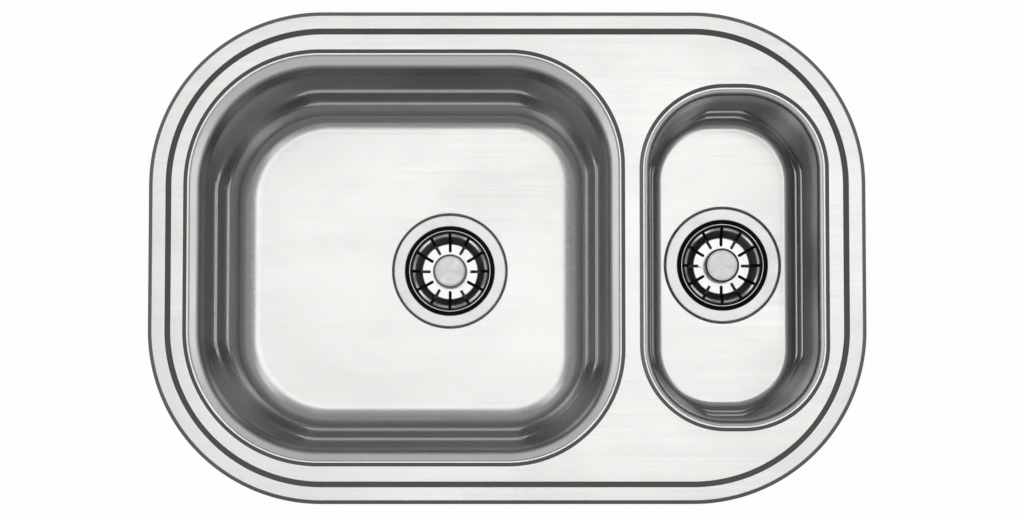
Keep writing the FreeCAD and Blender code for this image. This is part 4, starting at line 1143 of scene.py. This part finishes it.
class SINK_OT_wastes(bpy.types.Operator):
    """Mould the waste bodies with gussets, threaded spigot and screw boss"""

    bl_idname = "sink.wastes"
    bl_label = "Wastes"

    def execute(self, context):
        sizes = context.scene.sink_wastes
        waste = self.mould_body(sizes, strainer_middle("main"))
        for side, body in both(waste, "waste_moulding"):
            finish_piece(body, bpy.data.materials["waste_plastic"], "sink", "waste_plastic",
                         f"{side}_waste_body", angle=40)
        return {"FINISHED"}

    def mould_body(self, sizes, middle):
        thread_foot = middle.z - sizes.spigot_end + 2 * sizes.soft
        return join([
            self.turn_shell(sizes, middle),
            thread("spigot_thread", middle, sizes.spigot, sizes.thread_depth, thread_foot,
                   sizes.thread_pitch, sizes.thread_turns, sizes.thread_segments),
            self.set_gussets(sizes, middle),
            self.set_ribs(sizes, middle),
            self.turn_boss(sizes, middle),
        ], "main_waste_moulding")

    def turn_shell(self, sizes, middle):
        """Rim, housing with its moulded ring, funnel and spigot, outside and inside."""
        soft, edge = sizes.soft, sizes.bead * 0.4
        outer = sizes.bore + sizes.wall
        root = sizes.spigot - sizes.thread_depth
        rim_foot = sizes.top + sizes.rim_height
        bead = (rim_foot + sizes.gusset_height + sizes.funnel_top) / 2
        return turn("main_waste_moulding", middle, self.lowered([
            (sizes.bore, -sizes.top),
            (sizes.rim_radius, -sizes.top, soft),
            (sizes.rim_radius, -rim_foot, soft),
            (outer, -rim_foot, soft),
            (outer, sizes.bead * 2 - bead, edge),
            (outer + sizes.bead, sizes.bead - bead, edge),
            (outer + sizes.bead, -sizes.bead - bead, edge),
            (outer, -sizes.bead * 2 - bead, edge),
            (outer, -sizes.funnel_top - sizes.wall, 4 * soft),
            (root + 2 * soft, -sizes.funnel_foot - sizes.wall + soft, 2 * soft),
            (root, -sizes.funnel_foot - sizes.wall - soft, soft),
            (root, soft - sizes.spigot_end, soft * 0.5),
            (root - soft, -sizes.spigot_end, soft * 0.5),
            (sizes.outlet, -sizes.spigot_end, soft * 0.6),
            (sizes.outlet, -sizes.funnel_foot, 3 * soft),
            (sizes.bore, -sizes.funnel_top, 3 * soft),
            (sizes.bore, soft - sizes.funnel_top + 4 * soft),
        ], sizes, middle), sizes.round_segments, hollow=True)

    def set_gussets(self, sizes, middle):
        """Three-cornered gussets between rim and housing."""
        soft, outer = sizes.soft, sizes.bore + sizes.wall
        top = middle.z - sizes.top - sizes.rim_height
        gusset = block("gusset", (middle.x + outer, middle.y, top - sizes.gusset_height / 2 + soft / 2),
                       (2 * (sizes.rim_radius - outer - soft), sizes.rib * 0.8, sizes.gusset_height + soft))
        edit(gusset)
        pick("VERT", lambda part: part.co.z < top - soft and part.co.x > middle.x + outer)
        bpy.ops.transform.translate(value=(outer - sizes.rim_radius, 0, 0))
        round_off(gusset, sizes.edge)
        return ring_of(gusset, middle, sizes.gusset_count)

    def set_ribs(self, sizes, middle):
        """Ribs that hold the boss in the spigot."""
        soft, reach = sizes.soft, sizes.outlet + sizes.soft
        rib = block("rib", (middle.x + (reach + sizes.boss) / 2 - soft, middle.y,
                            middle.z - (sizes.rib_top + sizes.rib_foot) / 2),
                    (reach - sizes.boss + 2 * soft, sizes.rib, sizes.rib_foot - sizes.rib_top))
        round_off(rib, sizes.edge)
        return ring_of(rib, middle, sizes.rib_count)

    def turn_boss(self, sizes, middle):
        """Boss with a blind bore for the clamp screw's insert."""
        soft = sizes.soft
        return turn("boss", middle, self.lowered([
            (sizes.boss_bore * 0.02, -sizes.boss_floor),
            (sizes.boss_bore, -sizes.boss_floor, soft * 0.2),
            (sizes.boss_bore, -sizes.boss_top, soft * 0.4),
            (sizes.boss, -sizes.boss_top, soft * 0.4),
            (sizes.boss, -sizes.rib_foot, soft),
            (sizes.boss_bore * 0.02, -sizes.rib_foot),
        ], sizes, middle), sizes.boss_segments)

    def lowered(self, corners, sizes, middle):
        """A section whose levels count from the bowl's floor, set at that floor."""
        return [(radius, middle.z + level) for radius, level in section(corners, sizes.bend_step)]


class SINK_OT_pads(bpy.types.Operator):
    """Mould the studded sound pads under the bowls"""

    bl_idname = "sink.pads"
    bl_label = "Sound pads"

    def execute(self, context):
        sizes = context.scene.sink_wastes
        for side in SIDES:
            low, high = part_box(f"{side}_sound_pad")
            middle, size = (low + high) / 2, high - low
            slab = rounded_plate(f"{side}_studded_pad", middle.x, (size.x, size.y),
                                 (sizes.pad_corner, sizes.pad_corner), high.z, 8)
            pull_faces(-sizes.pad_slab)
            close_up(slab)
            slab.select_set(True)
            slab.location = (0, middle.y, 0)
            settle(slab, slab.name)
            round_off(slab, sizes.edge)
            studs = self.mould_studs(sizes, middle, size, high.z - sizes.pad_slab, low.z)
            join([slab, studs], slab.name)
            finish_piece(slab, bpy.data.materials["damping_pad"], "sink", "damping_pad",
                         f"{side}_sound_pad")
        return {"FINISHED"}

    def mould_studs(self, sizes, middle, size, face, foot):
        field = [side - 2 * sizes.pad_margin for side in size.xy]
        across, along = (round(side / sizes.stud_pitch) for side in field)
        object_mode()
        bpy.ops.mesh.primitive_grid_add(x_subdivisions=across, y_subdivisions=along, size=1,
                                        location=(middle.x, middle.y, face), rotation=(math.pi, 0, 0))
        studs = bpy.context.object
        studs.scale = (*field, 1)
        settle(studs, "studs")
        edit(studs)
        pick_all("FACE")
        bpy.ops.mesh.inset(thickness=sizes.stud_slope, depth=face - foot, use_individual=True)
        pick("EDGE", lambda part: part.is_boundary)
        pull_edges(0, 0, sizes.pad_slab / 2)
        close_up(studs)
        return studs


class SINK_OT_clips(bpy.types.Operator):
    """Make the fixing clips: folded brackets, threaded screws and toothed claws"""

    bl_idname = "sink.clips"
    bl_label = "Clips"

    def execute(self, context):
        sizes = context.scene.sink_clips
        start = self.middle_of(1)
        firsts = {
            "bracket": self.fold_bracket(sizes, start),
            "screw": self.turn_screw(sizes, start),
            "claw": self.bend_claw(sizes, start),
        }
        brackets = [firsts["bracket"]]
        for index in CLIPS:
            for part in ("screw", "claw"):
                name = f"clip_{part}_steel_{index}"
                piece = firsts[part] if index == 1 else self.copy_round(firsts[part], name, start, index)
                finish_piece(piece, bpy.data.materials["clip_zinc"], f"clip_{part}_{index}", "clip_steel",
                             f"clip_{part}_{index}", angle=40)
            if index > 1:
                brackets.append(self.copy_round(firsts["bracket"], f"bracket_{index}", start, index))
        group = join(brackets, "clip_bracket_folds")
        finish_piece(group, bpy.data.materials["clip_zinc"], "sink", "clip_steel", "clip_brackets")
        return {"FINISHED"}

    def middle_of(self, index):
        low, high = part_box(f"clip_screw_{index}")
        return Vector(((low.x + high.x) / 2, (low.y + high.y) / 2, low.z))

    def copy_round(self, piece, name, start, index):
        place = self.middle_of(index)
        low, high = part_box(f"clip_claw_{index}")
        arm = (low + high) / 2 - place
        twin = copy_to(piece, name, place - start)
        edit(twin)
        bpy.ops.transform.rotate(value=-math.atan2(arm.y, arm.x), orient_axis="Z", center_override=place)
        object_mode()
        return twin

    def fold_bracket(self, sizes, start):
        low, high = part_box("clip_brackets")
        size = (sizes.bracket_length - sizes.bracket_sheet, high.z - low.z - sizes.bracket_sheet)
        object_mode()
        middle = (start.x, start.y + sizes.bracket_depth / 2, (low.z + high.z) / 2)
        bpy.ops.mesh.primitive_plane_add(size=1, rotation=(math.pi / 2, 0, 0), location=middle)
        bracket = bpy.context.object
        bracket.scale = (*size, 1)
        settle(bracket, "bracket_1")
        edit(bracket)
        bpy.ops.mesh.bevel(offset=sizes.bracket_bend, segments=6, affect="VERTICES")
        bpy.ops.mesh.delete(type="ONLY_FACE")
        pick_all("EDGE")
        pull_edges(0, -sizes.bracket_depth, 0)
        bpy.ops.mesh.select_all(action="SELECT")
        bpy.ops.mesh.normals_make_consistent(inside=False)
        apply(bracket, "SOLIDIFY", thickness=sizes.bracket_sheet, offset=0, use_even_offset=True)
        floor, through = low.z + sizes.bracket_sheet / 2, 2 * MM
        wide = sizes.neck + sizes.play / 2
        hole = [(wide, floor - through), (wide, floor + through)]
        cut(bracket, turn("hole", start, hole, sizes.hole_segments))
        round_off(bracket, sizes.bracket_edge)
        return bracket

    def turn_screw(self, sizes, start):
        low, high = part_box("clip_screw_1")
        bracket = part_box("clip_brackets")[0].z
        collar_top = bracket - sizes.play
        collar_foot = collar_top - sizes.collar_height
        drive_top = low.z + sizes.drive_height
        core = sizes.rod - sizes.thread_depth
        soft = sizes.screw_edge
        screw = turn("clip_screw_steel_1", start, section([
            (core * 0.02, low.z),
            (sizes.head - soft * 2, low.z, soft * 0.5),
            (sizes.head, low.z + soft * 2, soft * 0.5),
            (sizes.head, drive_top, soft),
            (core, drive_top, soft * 0.5),
            (core, collar_foot, soft * 0.5),
            (sizes.head, collar_foot, soft),
            (sizes.head, collar_top, soft),
            (sizes.neck, collar_top, soft * 0.5),
            (sizes.neck, high.z - sizes.rivet_height, soft * 0.5),
            (sizes.head, high.z - sizes.rivet_height, soft * 0.5),
            (sizes.head, high.z - sizes.rivet_height * 0.4, soft),
            (sizes.neck, high.z, soft * 2),
            (core * 0.02, high.z),
        ], sizes.bend_step), sizes.screw_segments)
        arm = sizes.head * 1.5
        for across, along in ((sizes.slot_width, arm), (arm, sizes.slot_width)):
            cut(screw, block("cross_slot", (start.x, start.y, low.z),
                             (across, along, sizes.slot_depth * 2)))
        turns = int((collar_foot - drive_top) / sizes.thread_pitch) - 1
        ridge = thread("rod_thread", start, sizes.rod, sizes.thread_depth,
                       drive_top + sizes.thread_pitch * 0.6, sizes.thread_pitch, turns,
                       sizes.thread_segments)
        return join([screw, ridge], "clip_screw_steel_1")

    def bend_claw(self, sizes, start):
        foot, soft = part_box("clip_claw_1")[0].z, sizes.boss_edge
        arm = self.bend_arm(sizes, start, foot)
        boss = turn("claw_boss", start, section([
            (sizes.bore, foot),
            (sizes.boss, foot, soft),
            (sizes.boss, foot + sizes.boss_height * 0.6, soft),
            (sizes.boss * 0.86, foot + sizes.boss_height * 0.68, soft),
            (sizes.boss * 0.86, foot + sizes.boss_height, soft),
            (sizes.bore, foot + sizes.boss_height),
        ], sizes.bend_step), sizes.boss_segments, hollow=True)
        return join([arm, boss], "clip_claw_steel_1")

    def bend_arm(self, sizes, start, foot):
        """The claw's flat arm, bent up at its tip and notched into teeth."""
        level, tip = foot + sizes.plate / 2 + sizes.arm_lift, foot + sizes.tip_height
        bend = section([
            (sizes.boss * 0.6, level),
            (sizes.reach - sizes.plate / 2, level, sizes.arm_bend),
            (sizes.reach - sizes.plate / 2, tip),
        ], sizes.arm_step)
        object_mode()
        bpy.ops.mesh.primitive_plane_add(size=sizes.width, location=(start.x + bend[0].x, start.y, level))
        arm = settle(bpy.context.object, "clip_claw_steel_1")
        edit(arm)
        pick("VERT", lambda part: part.co.x < start.x + bend[0].x)
        bpy.ops.mesh.delete(type="VERT")
        bpy.ops.mesh.select_all(action="SELECT")
        bpy.ops.transform.translate(value=(-sizes.width / 2, 0, 0))
        pick_all("EDGE")
        for before, after in zip(bend, bend[1:]):
            pull_edges(after.x - before.x, 0, after.y - before.y)
        bpy.ops.mesh.select_all(action="SELECT")
        bpy.ops.mesh.normals_make_consistent(inside=False)
        apply(arm, "SOLIDIFY", thickness=sizes.plate, offset=0, use_even_offset=True)
        for side in (-0.5, 0.5):
            cut(arm, self.notch(sizes, start, side * sizes.width / 3, tip))
        round_off(arm, sizes.claw_edge)
        return arm

    def notch(self, sizes, start, aside, top):
        object_mode()
        middle = (start.x + sizes.reach - sizes.plate / 2, start.y + aside, top)
        bpy.ops.mesh.primitive_cylinder_add(vertices=3, radius=1, depth=1, rotation=(0, math.pi / 2, 0),
                                            location=middle)
        tool = bpy.context.object
        tool.scale = (sizes.tooth_depth, sizes.width / 6, sizes.plate * 2)
        return settle(tool, "notch")


class SINK_OT_finishes(bpy.types.Operator):
    """Mix the steels, rubber, foam, plastic and brass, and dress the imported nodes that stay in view"""

    bl_idname = "sink.finishes"
    bl_label = "Finishes"

    def execute(self, context):
        finish, sheet = context.scene.sink_finishes, context.scene.sink_sheet
        steel, polish = tuple(finish.sheet_steel), finish.sheet_polish
        satin_sheet("deck_steel", steel, polish, finish.deck_wall_shade, fold=finish.deck_fold_shade)
        for side in SIDES:
            # painted shade on each bowl's upper and lower walls
            wall, low = (getattr(finish, f"{side}_{part}") for part in ("wall", "low"))
            floor = DECK_HIGH.z - sheet.deck_drop - getattr(sheet, f"{side}_depth")
            satin_sheet(f"{side}_bowl_steel", steel, polish, wall, low=low, floor=floor)
        cup = tuple(finish.strainer_steel)
        drawn = drawn_steel("basket_steel", tuple(finish.basket_steel), finish.strainer_polish)
        screws = plain_metal("screw_steel", tuple(finish.screw_steel), 0.3)
        zinc = plain_metal("clip_zinc", tuple(finish.clip_zinc), 0.38, mottle=140)
        rubber = soft_matt("black_rubber", tuple(finish.rubber), 0.7, 700, 0.00004, sheen=0.06)
        foam = soft_matt("seal_foam", tuple(finish.foam), 0.9, 1500, 0.0002)
        damping = soft_matt("damping_pad", tuple(finish.damping), 0.7, 320, 0.0002)
        plastic = soft_matt("waste_plastic", tuple(finish.plastic), 0.42, 900, 0.00003, wear=1.05)
        brass = plain_metal("insert_brass", tuple(finish.brass), 0.3)
        dress(foam, "edge_seal")
        dress(zinc, "clip_brackets",
              *(f"clip_{part}_{index}" for part in ("screw", "claw") for index in CLIPS))
        for side in SIDES:
            low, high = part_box(f"{side}_knob")
            dress(turned_steel(f"{side}_turned_steel", tuple(finish.knob_steel), finish.knob_polish,
                               (low + high) / 2), f"{side}_knob")
            # the cup is darkened as painted shade below 10 mm above its foot
            dress(drawn_steel(f"{side}_cup_steel", cup, finish.strainer_polish, low.z + 10 * MM),
                  f"{side}_strainer_cup")
            dress(drawn, f"{side}_basket")
            dress(screws, f"{side}_clamp_screw", f"{side}_knob_washer", f"{side}_knob_nut")
            dress(rubber, f"{side}_flange_gasket", f"{side}_body_gasket", f"{side}_basket_seal")
            dress(damping, f"{side}_sound_pad")
            dress(plastic, f"{side}_waste_body")
            dress(brass, f"{side}_clamp_insert")
        return {"FINISHED"}


class SINK_OT_stage(bpy.types.Operator):
    """Lay the pale floor, hang the lamps and set the camera at the photograph's angle"""

    bl_idname = "sink.stage"
    bl_label = "Stage"

    def execute(self, context):
        scene, stage = context.scene, context.scene.sink_stage
        scene.view_settings.view_transform = "Standard"
        self.lay_floor(stage)
        self.light_room(scene, stage)
        self.hang_fill(stage)
        eye = Vector(stage.eye)
        forward = (Vector(stage.aim) - eye).normalized()
        right = forward.cross(Vector((0, 1, 0))).normalized()
        axes = Matrix((right, right.cross(forward), -forward)).transposed()
        object_mode()
        bpy.ops.object.camera_add(location=eye, rotation=axes.to_euler())
        camera = context.object
        camera.data.lens = stage.lens
        camera.data.sensor_width = stage.sensor
        camera.data.clip_end = stage.sight
        scene.camera = camera
        return {"FINISHED"}

    def lay_floor(self, stage):
        object_mode()
        bpy.ops.mesh.primitive_plane_add(size=stage.floor_size,
                                         location=(0, 0, CAD_BOX[0][2] - stage.floor_gap))
        floor = bpy.context.object
        floor.name = "floor"
        look = Finish("pale_floor", Roughness=0.9, Specular_IOR_Level=0.1)
        tone, cloud = tuple(stage.floor), look.noise((1.5, 1.5, 1.5))
        look.feed("Base Color", look.tint(look.span(cloud, 0, 1), darker(tone, 0.985), tone))
        path = look.node("ShaderNodeLightPath").outputs
        seen = look.most(look.most(path["Is Camera Ray"], path["Is Glossy Ray"]),
                         path["Is Transmission Ray"])
        glow = look.node("ShaderNodeEmission", {"Color": (1, 1, 1, 1), "Strength": 1}).outputs[0]
        above = look.shaders(look.times(seen, stage.floor_glow), look.shader.outputs[0], glow)
        below = look.node("ShaderNodeBsdfTransparent").outputs[0]
        sides = look.shaders(look.node("ShaderNodeNewGeometry").outputs["Backfacing"], above, below)
        look.tree.links.new(sides, look.tree.nodes["Material Output"].inputs["Surface"])
        floor.data.materials.append(look.material)

    def light_room(self, scene, stage):
        """A soft panel overhead, corner and side lamps, low lamps and pale walls, as seen in the steel."""
        world = bpy.data.worlds.new("studio_room")
        scene.world = world
        world.use_nodes = True
        room = Wiring(world.node_tree)
        way = room.axes(room.node("ShaderNodeTexCoord").outputs["Generated"])
        high = room.most(self.panel(room, way, stage), self.lamps(room, way, stage))
        level = room.add(high, self.walls(room, way, stage))
        seen = room.node("ShaderNodeLightPath").outputs["Is Camera Ray"]
        backdrop = world.node_tree.nodes["Background"]
        backdrop.inputs["Color"].default_value = (1, 1, 1, 1)
        world.node_tree.links.new(room.most(seen, level), backdrop.inputs["Strength"])

    def panel(self, room, way, stage):
        """An oval ceiling panel with a brighter edge, brightest at the back right."""
        up = room.most(way["Z"], 0.01)
        across = room.maths("DIVIDE", way["X"], up)
        behind = room.maths("SUBTRACT", room.maths("DIVIDE", way["Y"], up), math.tan(stage.panel_back))
        plan = room.node("ShaderNodeCombineXYZ", {
            0: room.maths("DIVIDE", across, math.tan(stage.panel_across)),
            1: room.maths("DIVIDE", behind, math.tan(stage.panel_deep))})
        oval = room.size(plan.outputs[0])
        edge = stage.glow_level * stage.glow_edge
        glow = room.times(room.span(oval, 1, 0, 1, stage.panel_fade, **SOFT),
                          room.span(oval, stage.glow_level, edge, stage.panel_rim, 0.95, **SOFT))
        aside, skew = room.add(room.times(across, 0.5), room.times(behind, 0.6)), stage.panel_skew
        return room.times(glow, room.span(aside, 1 - skew, 1 + skew, -0.1, 0.1))

    def lamps(self, room, way, stage):
        """Four corner lamps, brightest in their upper halves, with fainter side lamps between them."""
        squares, square = self.level_squares(room, way)
        corner = room.maths("DIVIDE", room.times(room.times(*squares), 4), room.times(square, square))
        high, wide = (room.span(way["Z"], 0, 1, math.cos(foot), math.cos(top), **SOFT) for foot, top in (
            (stage.lamp_middle, stage.lamp_top), (stage.lamp_foot, stage.lamp_middle)))
        corners = room.span(corner, 0, 1, stage.corner_start, 1, **SOFT)
        sides = room.span(corner, stage.side_level, 0, 0, stage.side_end, **SOFT)
        lower, upper = (room.add(room.times(corners, level), sides)
                        for level in (stage.corner_level, stage.corner_glint))
        return room.add(room.times(lower, wide), room.times(upper, high))

    def walls(self, room, way, stage):
        """Low lamps round the horizon, brighter at the sink's ends, and the walls above them."""
        squares, square = self.level_squares(room, way)
        end = room.span(room.maths("DIVIDE", squares[0], square), 0, stage.strip_ends, 0.7, 1, **SOFT)
        low = room.span(way["Z"], 1, 0, math.sin(stage.strip_top), math.sin(stage.strip_end), **SOFT)
        wall = room.span(way["Z"], stage.wall_level, stage.room_level, math.sin(stage.wall_top),
                         math.sin(stage.wall_end), **SOFT)
        return room.add(room.times(room.add(end, stage.strip_level), low), wall)

    def level_squares(self, room, way):
        """The squares of a direction's two level parts, and their sum."""
        squares = [room.times(way[axis], way[axis]) for axis in "XY"]
        return squares, room.most(room.add(*squares), 1e-6)

    def hang_fill(self, stage):
        object_mode()
        bpy.ops.object.light_add(type="SUN", location=(0, 0, 2),
                                 rotation=(stage.fill_back, stage.fill_side, 0))
        fill = bpy.context.object
        fill.name = "soft_fill"
        fill.data.angle = stage.fill_angle
        fill.data.energy = stage.fill_level
        fill.visible_glossy = False


class VIEW3D_PT_sink(bpy.types.Panel):
    """Lists the steps that make the sink"""

    bl_idname = "VIEW3D_PT_sink"
    bl_label = "One and a half bowl sink"
    bl_space_type = "VIEW_3D"
    bl_region_type = "UI"
    bl_category = "Sink"

    def draw(self, context):
        for step in STEPS:
            self.layout.operator(step.bl_idname)
        for group in GROUPS:
            settings = getattr(context.scene, group)
            column = self.layout.column()
            for name in settings.__annotations__:
                column.prop(settings, name, text=name.replace("_", " ").capitalize())


STEPS = (SINK_OT_finishes, SINK_OT_deck, SINK_OT_bowls, SINK_OT_strainers, SINK_OT_wastes, SINK_OT_pads,
         SINK_OT_clips, SINK_OT_stage)
GROUPS = {"sink_sheet": SinkSheetSizes, "sink_strainers": SinkStrainerSizes, "sink_wastes": SinkWasteSizes,
          "sink_clips": SinkClipSizes, "sink_finishes": SinkFinishes, "sink_stage": SinkStage}


def register():
    for group, kind in GROUPS.items():
        bpy.utils.register_class(kind)
        setattr(bpy.types.Scene, group, PointerProperty(type=kind))
    for kind in (*STEPS, VIEW3D_PT_sink):
        bpy.utils.register_class(kind)


def unregister():
    for kind in reversed((*STEPS, VIEW3D_PT_sink)):
        bpy.utils.unregister_class(kind)
    for group, kind in GROUPS.items():
        delattr(bpy.types.Scene, group)
        bpy.utils.unregister_class(kind)


def main():
    register()
    bpy.ops.sink.finishes()
    bpy.ops.sink.deck()
    bpy.ops.sink.bowls()
    bpy.ops.sink.strainers()
    bpy.ops.sink.wastes()
    bpy.ops.sink.pads()
    bpy.ops.sink.clips()
    bpy.ops.sink.stage()
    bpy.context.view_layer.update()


if __name__ == "__main__":
    main()
